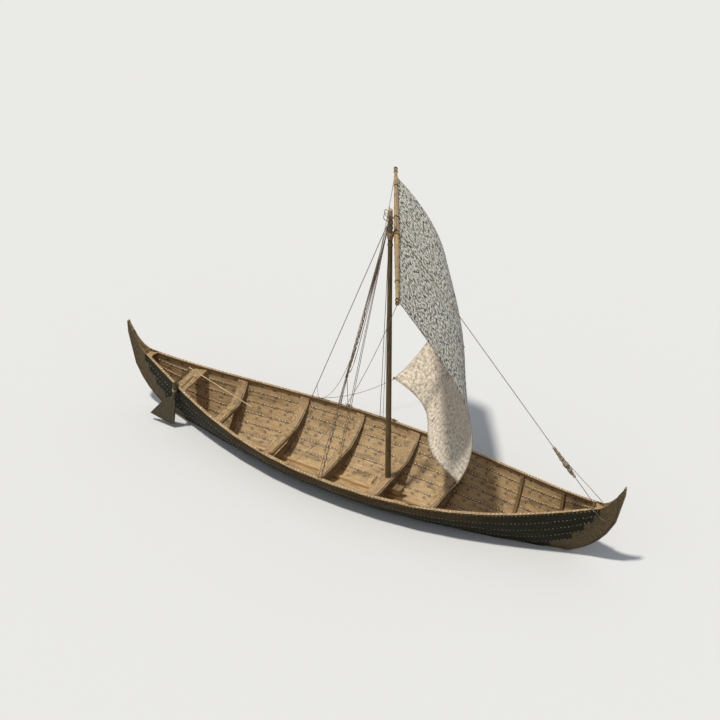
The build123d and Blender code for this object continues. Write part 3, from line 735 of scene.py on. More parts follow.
def sail_cloth(name, light, mid, dark, warm, fleck_share, seam_share):
    """Coarse hand-woven wool: panels, weave, dark and pale flecks, faint stains."""
    shade = Shade(name)
    uv = shade.coords("UV")
    speckle = shade.noise(uv, 15.0, 2.0, 0.6)
    color = shade.mix(shade.band(speckle, 0.42, 0.58), mid, light)
    pale = shade.noise(shade.scaled(uv, (1, 1, 1), move=(1.3, 7.7, 0)), 19.0, 1.0, 0.5)
    color = shade.over(color, tone(255, 250, 236), pale, 0.53, 0.58, fleck_share)
    grit = shade.noise(shade.scaled(uv, (1, 1, 1), move=(5.3, 2.1, 0)), 15.0, 0.0, 0.5)
    color = shade.over(color, dark, grit, 0.595, 0.615, fleck_share)
    color = shade.over(color, warm, shade.noise(uv, 1.1, 3.0, 0.6), 0.45, 0.75, 0.4)
    seam = shade.band(repeat(shade, shade.split(uv)[0], PANEL, 0.0), 0.472, 0.487)
    color = shade.tint(color, dark, seam, seam_share)
    weft, warp = [shade.node("ShaderNodeTexWave", {"Vector": uv, **WEAVE}, out=1, bands_direction=way)
                  for way in "YX"]
    height = shade.plus(shade.times(shade.plus(weft, warp), 0.3), shade.times(speckle, 1.2))
    height = shade.plus(height, shade.times(seam, 0.8))
    return shade.finish(color, 0.92, shade.bump(height, 0.5, 0.003), Sheen_Weight=0.15)


# The two faces are one cloth: the back's warm cream and the front's greyer, darker mix partly paint the
# sunlit aft side and the shaded front
MATERIALS["sail_front"] = sail_cloth("sail_front", tone(252, 246, 225), tone(130, 124, 108),
                                     tone(10, 9, 8), tone(196, 190, 166), 1.0, 0.25)
MATERIALS["sail_back"] = sail_cloth("sail_back", tone(255, 238, 213), tone(214, 197, 173),
                                    tone(70, 58, 52), tone(230, 211, 187), 0.32, 0.12)

SAIL_COLUMNS = 72
SAIL_ROWS = 96
CLOTH = 0.003


def sail():
    """The cloth as two skins and a rim, and the area of its middle."""
    rows, columns = range(SAIL_ROWS + 1), range(SAIL_COLUMNS + 1)
    wide = SAIL_COLUMNS + 1
    back = wide * (SAIL_ROWS + 1)
    grid = [[sail_point(u / SAIL_COLUMNS, v / SAIL_ROWS) for u in columns] for v in rows]
    # Metres down the middle column
    runs = [0.0]
    for a, b in zip(grid, grid[1:]):
        runs.append(runs[-1] + (b[SAIL_COLUMNS // 2] - a[SAIL_COLUMNS // 2]).length)

    def normal(v, u):
        across = grid[v][min(u + 1, SAIL_COLUMNS)] - grid[v][max(u - 1, 0)]
        down = grid[min(v + 1, SAIL_ROWS)][u] - grid[max(v - 1, 0)][u]
        return across.cross(down).normalized()

    def flat(v, u):
        width = (grid[v][0] - grid[v][SAIL_COLUMNS]).length
        return (u / SAIL_COLUMNS * width - width / 2, runs[v])

    points = [grid[v][u] + normal(v, u) * (sign * CLOTH / 2)
              for sign in (1, -1) for v in rows for u in columns]
    faces, uvs, picks = [], [], []
    area = 0.0
    for v in range(SAIL_ROWS):
        for u in range(SAIL_COLUMNS):
            spots = [(v, u), (v, u + 1), (v + 1, u + 1), (v + 1, u)]
            front = [row * wide + column for row, column in spots]
            faces += [front, [front[k] + back for k in (0, 3, 2, 1)]]
            uvs += [flat(*spots[k]) for k in (0, 1, 2, 3, 0, 3, 2, 1)]
            picks += [0, 1]
            a, b, c, d = [grid[row][column] for row, column in spots]
            area += ((b - a).cross(c - a).length + (c - a).cross(d - a).length) / 2
    rim = [(0, u) for u in columns] + [(v, SAIL_COLUMNS) for v in rows[1:]]
    rim += [(SAIL_ROWS, u) for u in columns[-2::-1]] + [(v, 0) for v in rows[-2:0:-1]]
    for (v1, u1), (v2, u2) in zip(rim, rim[1:] + rim[:1]):
        a, b = v1 * wide + u1, v2 * wide + u2
        faces.append([a, a + back, b + back, b])
        uvs += [flat(v1, u1)] * 2 + [flat(v2, u2)] * 2
        picks.append(1)
    made = mesh_object("sail_cloth", points, faces, [MATERIALS["sail_front"], MATERIALS["sail_back"]],
                       body="yard", uvs=uvs, picks=picks)
    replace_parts(made, "sail")
    return made, area


cloth, cloth_area = sail()


# Ropes
STOUT_R = 0.010
LINE_R = 0.008
LIGHT_R = 0.007
THIN_R = 0.006


def smooth_path(points, step=0.04):
    """Even points along a smooth curve through the given ones."""
    points = [Vector(p) for p in points]
    if len(points) == 2:
        count = max(2, int((points[1] - points[0]).length / step))
        return [points[0].lerp(points[1], k / count) for k in range(count + 1)]
    padded = [points[0] * 2 - points[1]] + points + [points[-1] * 2 - points[-2]]
    path = []
    for k in range(1, len(padded) - 2):
        a, b, c, d = padded[k - 1:k + 3]
        count = max(2, int((c - b).length / step))
        for m in range(count):
            s = m / count
            path.append(0.5 * ((2 * b) + (c - a) * s + (2 * a - 5 * b + 4 * c - d) * s * s
                               + (3 * b - a - 3 * c + d) * s ** 3))
    path.append(points[-1])
    return path


SAG_POINTS = 15


def sagging(a, b, sag):
    """Points of a slack line between two ends, lowest by sag below the straight line."""
    a, b = Vector(a), Vector(b)
    shares = [k / (SAG_POINTS - 1) for k in range(SAG_POINTS)]
    return [a.lerp(b, s) - Vector((0, 0, 4 * sag * s * (1 - s))) for s in shares]


def circle(count):
    """Cosine and sine of evenly spaced angles."""
    angles = [2 * math.pi * m / count for m in range(count)]
    return [(math.cos(angle), math.sin(angle)) for angle in angles]


def ring_skin(first, rings, around):
    """Faces over rings of points that follow each other from point first, with both ends closed."""
    faces = []
    for k in range(1, rings):
        low, high = first + (k - 1) * around, first + k * around
        for m in range(around):
            after = (m + 1) % around
            faces.append([low + m, low + after, high + after, high + m])
    faces.append([first + m for m in range(around)][::-1])
    faces.append([first + (rings - 1) * around + m for m in range(around)])
    return faces


def rope_mesh(paths, radius, lay, sides=9):
    """Three-strand rope along each path: points, faces and corner coordinates."""
    points, faces, uvs = [], [], []
    for path in paths:
        faces += ring_skin(len(points), len(path), sides)
        along = 0.0
        side = Vector((0.31, 0.17, 0.93))
        for k, spot in enumerate(path):
            if k:
                along += (spot - path[k - 1]).length
                uvs += [((m + step) / sides, along) for m in range(sides) for step in (0, 1, 1, 0)]
            heading = (path[min(k + 1, len(path) - 1)] - path[max(k - 1, 0)]).normalized()
            side = (side - heading * side.dot(heading)).normalized()
            other = heading.cross(side)
            for m in range(sides):
                angle = 2 * math.pi * m / sides
                fat = radius * (0.86 + 0.14 * math.cos(3 * angle))
                turn = angle + 2 * math.pi * along / (lay * 3)
                points.append(spot + side * (fat * math.cos(turn)) + other * (fat * math.sin(turn)))
        uvs += [(0, 0)] * sides * 2
    return points, faces, uvs


def hemp(name, light, dark):
    """Rope of two tones, fuzzy and uneven along its run."""
    shade = Shade(name)
    spot = shade.coords()
    figure = shade.noise(spot, 60.0, 3.0, 0.7)
    color = shade.mix(shade.band(figure, 0.3, 0.7), dark, light)
    color = shade.over(color, dark, shade.noise(spot, 6.0, 2.0), 0.45, 0.7, 0.4)
    return shade.finish(color, 0.9, shade.bump(figure), Sheen_Weight=0.1)


MATERIALS["rope"] = hemp("hemp_rope", tone(196, 172, 140), tone(120, 98, 74))
MATERIALS["pale_rope"] = hemp("pale_rope", tone(226, 212, 184), tone(160, 142, 116))
MATERIALS["black_rope"] = hemp("black_rope", tone(44, 40, 36), tone(18, 18, 16))
MATERIALS["tarred_rope"] = hemp("tarred_rope", tone(104, 84, 60), tone(56, 44, 32))


def rope(name, paths, radius, body="hull", material="rope", step=0.05, replaces=()):
    """One mesh of ropes, smooth through their points, in place of the named solids if any."""
    smooth = [smooth_path(p, step) for p in paths]
    points, faces, uvs = rope_mesh(smooth, radius, lay=max(radius * 6, 0.03))
    made = mesh_object(name, points, faces, MATERIALS[material], body=body, uvs=uvs)
    if replaces:
        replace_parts(made, *replaces)


def mast_radius(z):
    return MAST_R + (MAST_TOP_R - MAST_R) * (z - MAST_FOOT_Z) / (MAST_TOP - MAST_FOOT_Z)


def mast_spot(z, towards, out=0.0):
    """Point on the mast's surface at height z, on the side of a point."""
    level = Vector((towards[0] - MAST_X, towards[1], 0)).normalized()
    return Vector((MAST_X, 0, z)) + level * (mast_radius(z) + out)


def rail_spot(x, side, up=0.006):
    """Point over the middle of a rail at x."""
    return Vector((x, side * rail_y(x), rail_top(x) + up))


def yard_radius(distance):
    end = YARD_PORT if distance > 0 else YARD_STARBOARD
    return YARD_R + (YARD_END_R - YARD_R) * abs(distance) / end


def coil(centre, axis, radius, turns, pitch, flat=1.0, start=(0, 0, 1)):
    """Points of a winding round an axis, each turn a little further along it."""
    axis = Vector(axis).normalized()
    first = Vector(start) - axis * Vector(start).dot(axis)
    if first.length < 0.1:
        first = Vector((1, 0, 0)) - axis * axis.x
    first.normalize()
    second = axis.cross(first)
    count = int(turns * 14)
    points = []
    for k in range(count + 1):
        angle = 2 * math.pi * turns * k / count
        shift = axis * (pitch * turns * (k / count - 0.5))
        points.append(Vector(centre) + shift + first * (radius * math.cos(angle))
                      + second * (radius * flat * math.sin(angle)))
    return points


def winding(name, coils, radius, body, material="rope"):
    """One mesh of several coils, followed as they are."""
    points, faces, uvs = rope_mesh(coils, radius, lay=radius * 6, sides=7)
    return mesh_object(name, points, faces, MATERIALS[material], body=body, uvs=uvs)


# Main stays of the part, as laid rope
STAY_R = 0.009
STAYS = (
    {"name": "shroud_starboard", "at": -0.0506, "side": -1, "lower": 0.0},
    {"name": "shroud_port", "at": -0.2132, "side": 1, "lower": 0.060},
    {"name": "backstay_port", "at": -0.3207, "side": 1, "lower": 0.0},
)
stay_ends = {}
for row in STAYS:
    foot = rail_spot(place(row["at"]), row["side"])
    head = mast_spot(HOUNDS_Z - row["lower"], foot, STAY_R + GAP)
    stay_ends[row["name"]] = (head, foot)
    rope(row["name"] + "_rope", [[head, foot]], STAY_R, replaces=(row["name"],), step=0.03)
foot = Vector((RAIL_END * FORE_REACH + STAY_FOOT, 0, gunwale_z(RAIL_END) - HOOK_DROP + 0.004))
head = mast_spot(HOUNDS_Z, foot, STAY_R)
stay_ends["forestay"] = (head, foot)
rope("forestay_rope", [[head, foot]], STAY_R, replaces=("forestay",), step=0.03)


def on_stay(name, share, aside=(0, 0, 0)):
    head, foot = stay_ends[name]
    return head.lerp(foot, share) + Vector(aside)


def round_stay(name, share, fat, angle):
    """Point a distance from a stay's middle and an angle round it, at a share of its length."""
    head, foot = stay_ends[name]
    heading = (foot - head).normalized()
    side = heading.cross(Vector((0, 1, 0.2))).normalized()
    return (on_stay(name, share) + side * (fat * math.cos(angle))
            + heading.cross(side) * (fat * math.sin(angle)))


def beside(name, first, last, spread, radius, turns):
    """Strand wound loosely round a stay between two shares of its length."""
    points = []
    count = 8 * turns
    for k in range(count + 1):
        fat = spread * math.sin(math.pi * k / count) ** 0.4 + radius
        points.append(round_stay(name, first + (last - first) * k / count, fat,
                                 2 * math.pi * turns * k / count))
    return points


def hounds_spot(drop, towards, out):
    """Point on the mast a drop below the hounds, on the side of a point."""
    return mast_spot(HOUNDS_Z - drop, towards, out)


def wing_spot(t, s, side, up=0.0):
    """Place just outside the hull's side, at share t of the reach and share s of the girth."""
    y, z = side_point(t, s)
    return Vector((place(t), side * (y + 2 * PLANK + 0.005), z + up))


# Where lines are made fast on the rails: x and side
FAST_AT = {"twin": (-0.34, -1), "halyard_aft": (-0.26, 1), "halyard_fore": (-0.19, 1),
           "leg_aft": (-1.14, 1), "leg_fore": (-0.985, 1), "brace_starboard": (-1.07, -1),
           "brace_port": (-1.57, 1), "tail": (-1.63, 1)}

# Standing rigging beyond the main stays, all on the hull: name, radius and route
second_foot = Vector((-0.547, -0.059, SHEER_Z - BEAMS[2][1] + 0.004))
port_block = on_stay("shroud_port", 0.83)
HULL_ROPES = (
    ("shroud_starboard_twin", LINE_R,
     [hounds_spot(0.03, (-0.5, -1), 0.01), rail_spot(*FAST_AT["twin"], 0.004)]),
    ("mast_fall_beam", LINE_R, [hounds_spot(0.10, (-0.9, -0.3), 0.012), second_foot]),
    ("mast_fall_twin", LINE_R,
     [hounds_spot(0.14, (-0.9, -0.1), 0.012), second_foot + Vector((0.02, 0.06, 0))]),
    ("halyard_aft", LINE_R, [hounds_spot(0.02, (-0.2, 1), 0.02), rail_spot(*FAST_AT["halyard_aft"])]),
    ("halyard_fore", LIGHT_R, [hounds_spot(0.06, (0.2, 1), 0.02), rail_spot(*FAST_AT["halyard_fore"])]),
    ("shroud_port_second", LINE_R,
     [hounds_spot(0.08, (-1.6, 1), 0.014), on_stay("shroud_port", 0.62, (0.03, 0.02, 0)), port_block]),
    ("shroud_port_third", LINE_R,
     [hounds_spot(0.10, (-1.2, 1), 0.014), on_stay("shroud_port", 0.70, (0.07, 0.02, 0)), port_block]),
    ("shroud_port_fourth", LINE_R,
     [hounds_spot(0.12, (-2.0, 1), 0.014), on_stay("shroud_port", 0.45, (0.02, 0.03, 0)),
      on_stay("shroud_port", 0.80, (-0.02, 0.02, 0)), port_block]),
    ("port_leg_aft", LINE_R, [port_block, rail_spot(*FAST_AT["leg_aft"], 0.004)]),
    ("port_leg_fore", LINE_R, [port_block, rail_spot(*FAST_AT["leg_fore"], 0.004)]),
    ("backstay_tail", THIN_R,
     [on_stay("backstay_port", 0.93, (0, 0, 0.012)), rail_spot(-1.62, 1, 0.012),
      rail_spot(-1.40, 1, 0.010)]),
    ("forestay_leg_port", LINE_R,
     [on_stay("forestay", 0.846, (0.03, 0.02, 0.02)), wing_spot(0.907, 1.0, 1, 0.008),
      wing_spot(0.910, 0.95, 1)]),
    ("forestay_leg_starboard", STOUT_R,
     [on_stay("forestay", 0.985), wing_spot(0.900, 1.0, -1, 0.012), wing_spot(0.908, 0.94, -1),
      wing_spot(0.923, 0.74, -1), wing_spot(0.938, 0.54, -1)]),
)
for name, radius, route in HULL_ROPES:
    rope(name, [route], radius)
rope("shroud_port_tackle", [beside("shroud_port", 0.44, 0.80, 0.016, 0.007, 9),
                            beside("shroud_port", 0.60, 0.84, 0.020, 0.007, 7)], LINE_R)
rope("shroud_starboard_tackle", [beside("shroud_starboard", 0.72, 0.985, 0.013, 0.007, 8)], LINE_R)


def strands(name, first, last, fat_first, fat_last, number):
    """Close strands side by side round a stay, from one width to another, a little uneven."""
    lines = []
    for m in range(number):
        line = []
        for k in range(9):
            share = k / 8
            fat = fat_first + (fat_last - fat_first) * share + 0.003 * math.sin(5 * k + 3 * m)
            line.append(round_stay(name, first + (last - first) * share, fat,
                                   2 * math.pi * m / number + 0.9 * share))
        lines.append(line)
    return lines


rope("forestay_tackle", strands("forestay", 0.785, 0.855, 0.014, 0.040, 8)
     + strands("forestay", 0.850, 0.892, 0.036, 0.010, 7), 0.011)
forestay_axis = stay_ends["forestay"][1] - stay_ends["forestay"][0]
FORESTAY_WRAPS = ((0.788, 0.026, 3), (0.806, 0.034, 2), (0.826, 0.042, 3), (0.846, 0.050, 4),
                  (0.866, 0.042, 3), (0.888, 0.022, 3))
winding("forestay_wraps", [coil(on_stay("forestay", share), forestay_axis, fat, turns, 0.015)
                           for share, fat, turns in FORESTAY_WRAPS], LIGHT_R, "hull", "pale_rope")

MATERIALS["block"] = wood("block_wood", tone(176, 140, 96), tone(126, 96, 60), tone(70, 52, 34),
                          (6.0, 6.0, 6.0))
BLOCK_LENGTH = 0.11
BLOCK_WIDE = 0.062
BLOCK_THICK = 0.042


def block(name, centre, axis):
    """Wooden block: a rounded shell with a waist for its strop, and a sheave slot."""
    axis = Vector(axis).normalized()
    side = axis.cross(Vector((0.2, 0.9, 0.1))).normalized()
    other = axis.cross(side)
    points = []
    rings, around = 12, 16
    for k in range(rings + 1):
        s = -1 + 2 * k / rings
        fat = (1 - abs(s) ** 2.6) ** 0.5 + 0.02
        waist = 1 - 0.12 * math.exp(-(s / 0.25) ** 2)
        for c, d in circle(around):
            square = (abs(c) ** 3 + abs(d) ** 3) ** (-1 / 3)
            slot_dip = 0.78 if abs(d) > 0.9 and abs(s) < 0.55 else 1.0
            points.append(Vector(centre) + axis * (s * BLOCK_LENGTH / 2)
                          + side * (c * square * fat * waist * BLOCK_WIDE / 2)
                          + other * (d * square * fat * BLOCK_THICK / 2 * slot_dip))
    mesh_object(name, points, ring_skin(0, rings + 1, around), MATERIALS["block"])
    strop = coil(centre, side, BLOCK_LENGTH * 0.52, 1.0, 0.006, 0.60, start=axis)
    winding(name + "_strop", [strop], THIN_R, "hull")


block("forestay_block", on_stay("forestay", 0.872, (0, 0, -0.02)), forestay_axis)
block("port_block", port_block, stay_ends["shroud_port"][1] - stay_ends["shroud_port"][0])

# Turns of rope where lines are made fast: on the rails, at the masthead and round the mast
FAST = [rail_spot(place(row["at"]), row["side"], -0.02) for row in STAYS]
FAST += [rail_spot(x, side, -0.02) for x, side in FAST_AT.values()]
winding("rail_lashings", [coil(spot, (1, 0, 0), 0.031, 3, 0.014, 0.84) for spot in FAST], THIN_R, "hull")
winding("masthead_wraps",
        [coil((MAST_X, 0, z), (0, 0, 1), mast_radius(z) + 0.007, turns, 0.016)
         for z, turns in ((MAST_TOP - 0.17, 2), (HOUNDS_Z + 0.02, 3), (HOUNDS_Z - 0.10, 3),
                          (HOUNDS_Z - 0.47, 2))], THIN_R, "hull")
winding("mast_band", [coil((MAST_X, 0, YARD_Z - 0.067), (0, 0, 1), mast_radius(YARD_Z) + 0.008, 4, 0.014)],
        LINE_R, "hull", "pale_rope")
loops = []
for k in range(4):
    turn = 2.3 + 0.8 * k
    out = Vector((math.cos(turn), math.sin(turn), 0))
    top = Vector((MAST_X, 0, MAST_TOP - 0.02 - 0.03 * k)) + out * (MAST_TOP_R + 0.004)
    drop = 0.10 + 0.02 * (k % 3)
    loops.append([top, top + out * 0.06 + Vector((0, 0, 0.02)), top + out * 0.08 - Vector((0, 0, drop * 0.6)),
                  top + out * 0.03 - Vector((0, 0, drop)), top - Vector((0, 0, drop * 0.5))])
rope("masthead_loops", loops, LINE_R, step=0.015)

# Yard: lashings of the sail's head, end wraps and the strop in the middle
robands = []
for k in range(19):
    distance = 2.05 - 0.2265 * k
    centre = YARD_MID + ALONG * distance + AHEAD * 0.006 - Vector((0, 0, 0.006))
    robands.append(coil(centre, ALONG, yard_radius(distance) + 0.010, 1, 0.006))
winding("robands", robands, 0.003, "yard")
wraps = []
for distance, turns in ((YARD_PORT - 0.04, 3), (2.23, 2), (1.71, 2), (0.555, 3), (0.06, 2), (-0.06, 2),
                        (-1.605, 2), (-2.18, 3), (0.03 - YARD_STARBOARD, 3)):
    centre = YARD_MID + ALONG * distance
    wraps.append(coil(centre, ALONG, yard_radius(distance) + 0.006, turns, 0.015))
winding("yard_wraps", wraps, THIN_R, "yard", "tarred_rope")
strop = [YARD_MID + ALONG * 0.60 + Vector((0, 0, 0.062)), YARD_MID + ALONG * 0.35 + Vector((0, 0, 0.075)),
         YARD_MID + ALONG * 0.12 + Vector((0, 0, 0.066))]
rope("yard_strop", [strop], LINE_R, body="yard")

# Edges of the sail and its reef lines
rim = [sail_point(k / 24, 0.0) for k in range(25)]
rim += [sail_point(1.0, k / 30) for k in range(1, 31)]
rim += [sail_point(1 - k / 24, 1.0) for k in range(1, 25)]
rim += [sail_point(0.0, 1 - k / 30) for k in range(1, 31)]
rope("bolt_rope", [rim], 0.0075, body="yard", material="pale_rope", step=0.06)


def cloth_normal(u, v):
    step = 0.01
    across = sail_point(min(u + step, 1), v) - sail_point(max(u - step, 0), v)
    down = sail_point(u, min(v + step, 1)) - sail_point(u, max(v - step, 0))
    return across.cross(down).normalized()


REEFS = ((0.17, 0.075), (0.32, 0.053), (0.31, 0.100), (0.17, 0.110), (0.46, 0.074), (0.60, 0.075),
         (0.73, 0.070), (0.86, 0.075), (0.72, 0.163), (0.14, 0.253), (0.13, 0.278), (0.40, 0.262),
         (0.30, 0.412), (0.62, 0.455), (0.80, 0.570), (0.50, 0.560))
AFT_DASHES = ((0.16, 0.865), (0.18, 0.9475), (0.18, 0.9825), (0.36, 0.945), (0.465, 0.9675),
              (0.10, 0.82), (0.28, 0.84), (0.52, 0.86), (0.70, 0.90))
DASH = 0.0065             # half-length of a dash as a share of the drop
reefs = []
for k, (u, v) in enumerate(REEFS):
    half = DASH * (1.0 + 0.35 * math.sin(7 * k))
    slant = 0.005 * math.sin(3 * k)
    reefs.append([sail_point(u, v - half) + cloth_normal(u, v - half) * 0.003,
                  sail_point(u + slant / 2, v) + cloth_normal(u, v) * 0.011,
                  sail_point(u + slant, v + half) + cloth_normal(u, v + half) * 0.007])
for k, (u, v) in enumerate(AFT_DASHES):
    half = DASH * (1.0 + 0.35 * math.cos(5 * k))
    reefs.append([sail_point(u, v - half) - cloth_normal(u, v) * 0.003,
                  sail_point(u, v) - cloth_normal(u, v) * 0.011,
                  sail_point(u + 0.008, v + half) - cloth_normal(u, v) * 0.008])
rope("reef_lines", reefs, 0.0065, body="yard", material="black_rope", step=0.03)


# Running rigging from the yard and sail to the hull
RUNNING_LAY = 0.05
BOWLINE_FOOT = (0.712, 0.84, 0.175)


def running(name, low, high, sag, radius, middle=()):
    """Line from a point on the hull up to one on the yard's body, slack by sag."""
    points = [Vector(p) for p in (low, *middle)]
    path = smooth_path(points[:-1] + sagging(points[-1], high, sag), 0.05)
    points, faces, uvs = rope_mesh([path], radius, RUNNING_LAY)
    made = mesh_object(name, points, faces, MATERIALS["rope"], body=None, uvs=uvs)
    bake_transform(made)


yard_port_end = YARD_MID + ALONG * (YARD_PORT - 0.05) - Vector((0, 0, 0.035))
yard_starboard_end = YARD_MID - ALONG * (YARD_STARBOARD - 0.05) - Vector((0, 0, 0.035))
running("brace_starboard", rail_spot(*FAST_AT["brace_starboard"]), yard_starboard_end, 0.62, LIGHT_R)
running("brace_port", rail_spot(*FAST_AT["brace_port"]), yard_port_end, 1.25, LIGHT_R)
running("sheet_port", rail_spot(*FAST_AT["brace_port"], 0.02), CLEW, 0.12, LINE_R)
running("tack_line", rail_spot(1.66, -1, 0.03), TACK, 0.02, LINE_R,
        middle=[rail_spot(1.80, -1, 0.012), rail_spot(2.02, -1, 0.014)])
running("bowline", BOWLINE_FOOT, sail_point(0.735, 1.0), 0.02, LIGHT_R)
winding("clew_knots", [coil(CLEW + Vector((-0.02, 0, 0)), (1, 0.3, 0.5), 0.020, 3, 0.010),
                       coil(TACK + Vector((-0.02, 0, -0.01)), (0.6, 0.1, 0.8), 0.020, 3, 0.010)],
        LINE_R, "yard")


# Lashing over the rudder's boss, turning with it
BOSS = Vector((-4.1303, -0.504, 0.880))
RUDDER_UP = Vector((0.13917, 0, 0.99027))
winding("rudder_lashing", [coil(BOSS + RUDDER_UP * 0.105, RUDDER_UP, 0.044, 4, 0.014)], LIGHT_R,
        "rudder", "pale_rope")


# Horned cleats in place of the plain ones
CLEAT_HALF = 0.025
CLEAT_RINGS = 25
POST_RINGS = 8


def cleat(name, x, side):
    """Post and two upturned horns on the rail, in place of a cleat of the part."""
    high = max(rail_top(x - CLEAT_HALF), rail_top(x + CLEAT_HALF)) + GAP
    middle = Vector((x, side * rail_y(x), high))
    around = 12
    points = []
    for k in range(CLEAT_RINGS):
        s = -1 + 2 * k / (CLEAT_RINGS - 1)
        fat = 1 - 0.62 * abs(s) ** 2.2
        centre = middle + Vector((0.094 * s, 0, 0.038 + 0.011 * s * s))
        points += [centre + Vector((0, 0.0115 * fat * c, 0.0120 * fat * d)) for c, d in circle(around)]
    for k in range(POST_RINGS):
        s = k / (POST_RINGS - 1)
        waist = 1 - 0.35 * math.sin(math.pi * s * 0.75) ** 2
        for c, d in circle(around):
            square = (abs(c) ** 4 + abs(d) ** 4) ** -0.25 * waist
            points.append(middle + Vector((0.024 * c * square, 0.0125 * d * square, 0.034 * s)))
    faces = ring_skin(0, CLEAT_RINGS, around) + ring_skin(CLEAT_RINGS * around, POST_RINGS, around)
    made = mesh_object(name + "_horned", points, faces, MATERIALS["rail"])
    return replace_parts(made, name)


CLEATS = (("cleat_starboard_aft", -0.3136, -1), ("cleat_starboard_fore", 0.293, -1),
          ("cleat_port_aft", -0.1734, 1), ("cleat_port_mid", 0.0111, 1))
for name, share, side in CLEATS:
    cleat(name, place(share), side)
winding("cleat_turns", [coil(rail_spot(place(share), side, 0.030), (1, 0.9 * way, 0), 0.026, 2, 0.012, 0.7)
                        for name, share, side in CLEATS for way in (1, -1)], THIN_R, "hull")


# Rivets: a small rove plate inside and a domed head outside, through every lap
def iron(name, light, dark):
    """Worn or tarred iron with specks of rust; its light tone is a painted glint."""
    shade = Shade(name)
    rust = shade.noise(shade.coords(), 22.0, 3.0, 0.8)
    color = shade.mix(shade.band(rust, 0.42, 0.62), light, dark)
    return shade.finish(color, 0.55, shade.bump(rust, 0.4, 0.001), Metallic=0.35)


# The pale tones of the roves, rail nails and rivet heads are painted glints of light on the iron
MATERIALS["rove"] = iron("iron_with_painted_glint", tone(252, 242, 220), tone(176, 154, 122))
MATERIALS["head"] = iron("tarred_iron_with_painted_glint", tone(190, 176, 138), tone(70, 62, 42))


def small_form(rings, around, tip=None):
    """Points and faces over (radius, height) rings, with a flat top or a tip of some height."""
    points = [(r * c, r * d, z) for r, z in rings for c, d in circle(around)]
    faces = ring_skin(0, len(rings), around)[:-2]
    top = len(points) - around
    if tip is None:
        return points, faces + [[top + m for m in range(around)]]
    faces += [[top + m, top + (m + 1) % around, len(points)] for m in range(around)]
    return points + [(0, 0, tip)], faces


def dome(radius, height):
    rings = [(radius * share, height * up) for share, up in ((1.0, 0.0), (0.88, 0.55), (0.52, 0.92))]
    return small_form(rings, 8, height)


def scattered(name, template, places, material):
    """One mesh of a small form set at many (point, outward direction) places."""
    shape, shape_faces = template
    points, faces = [], []
    for spot, out in places:
        out = Vector(out).normalized()
        along = Vector((1, 0, 0)) - out * out.x
        along.normalize()
        across = out.cross(along)
        start = len(points)
        points += [Vector(spot) + along * a + across * b + out * c for a, b, c in shape]
        faces += [tuple(start + k for k in face) for face in shape_faces]
    return mesh_object(name, points, faces, material, smooth=False)


ROVE = small_form(((0.018, 0), (0.014, 0.003), (0.004, 0.0065)), 4)
RIVET_COUNT = int(AFT_REACH / RIVET_PITCH) + 1


def rivet_shares(i, side, end):
    """Place x and share of the reach of each rivet through a lap, in step with the grain's run."""
    shift = U_STEP * i + U_SIDE * side
    shares = []
    for k in range(-RIVET_COUNT, RIVET_COUNT + 1):
        x = (k + 0.5) * RIVET_PITCH - (shift % RIVET_PITCH)
        if abs(share_of(x)) < end - 0.008:
            shares.append((x, share_of(x)))
    return shares


def on_face(x, side, near, far, distance, way):
    """Place on a plank's face, at a distance from near towards far, and its direction there."""
    normal = outward(near, far)
    y, z = between(near, far, distance)
    return ((x, side * y, z), (0, way * side * normal[0], way * normal[1]))


roves, heads, nails = [], [], []
for side in (1, -1):
    for i, end in enumerate(STEP_ENDS):
        last = i == len(STEP_ENDS) - 1
        for x, t in rivet_shares(i, side, end):
            outline = strake_outline(i, t)
            top, under = (outline[1], outline[0]) if i == 0 else (outline[2], outline[1])
            # Seen from the top edge down, outward() gives the way into the boat
            if not last:
                roves.append(on_face(x, side, top, under, RIVET_IN, 1))
            elif abs(t) < RAIL_END:
                roves.append(on_face(x, side, top, under, RAIL_HEIGHT + 0.012, 1))
            heads.append(on_face(x, side, outline[-1], outline[-2], RIVET_IN if i else 0.030, 1))
            if last:
                heads.append(on_face(x + 0.03, side, outline[3], outline[4], 0.022, -1))
    for k in range(-RIVET_COUNT, RIVET_COUNT + 1):
        x = RIVET_PITCH * k
        if abs(share_of(x)) < RAIL_END - 0.01:
            nails.append(((x, side * (rail_y(x) + 0.011), rail_top(x)), (0, 0, 1)))
scattered("roves", ROVE, roves, MATERIALS["rove"])
scattered("rivet_heads", dome(0.0105, 0.005), heads, MATERIALS["head"])
scattered("rail_nails", dome(0.0125, 0.006), nails, MATERIALS["rove"])

# Treenails in the beams and the helm plank
pegs = []
for share, drop, wide in BEAMS:
    for back in (0.035, wide - 0.035):
        x = place(share) - back
        room = rail_y(x)
        for part_way in (0.12, 0.34, 0.55):
            for side in (1, -1):
                y = room * part_way + 0.02 * math.sin(40 * x + 9 * part_way)
                pegs.append(((x, side * y, SHEER_Z - drop), (0, 0, 1)))
plank_x = place(HELM_SHARE)
plank_z = rail_top(plank_x) - RAIL_HEIGHT + 0.004 - GAP
for back in (0.030, 0.075, 0.190, 0.232):
    for part_way in (0.28, 0.62, 0.86):
        for side in (1, -1):
            x = plank_x - back
            pegs.append(((x, side * (rail_y(x) - 0.05) * part_way, plank_z), (0, 0, 1)))
scattered("treenails", dome(0.011, 0.003), pegs, MATERIALS["peg"])


# Floor with the boat's waterline cut out of it, lamps, world and camera
FLOOR_TONE = (0.80, 0.80, 0.79, 1)
WATER_TONE = (0.22, 0.23, 0.24, 1)
FLOOR_FAR = 60.0
WATER_REACH = 0.80        # share of the reach that the cut-out is looked for in
WATER_STEPS = 120
FLOOR_UNDER = 0.008       # how far the floor goes on inside the hull's skin


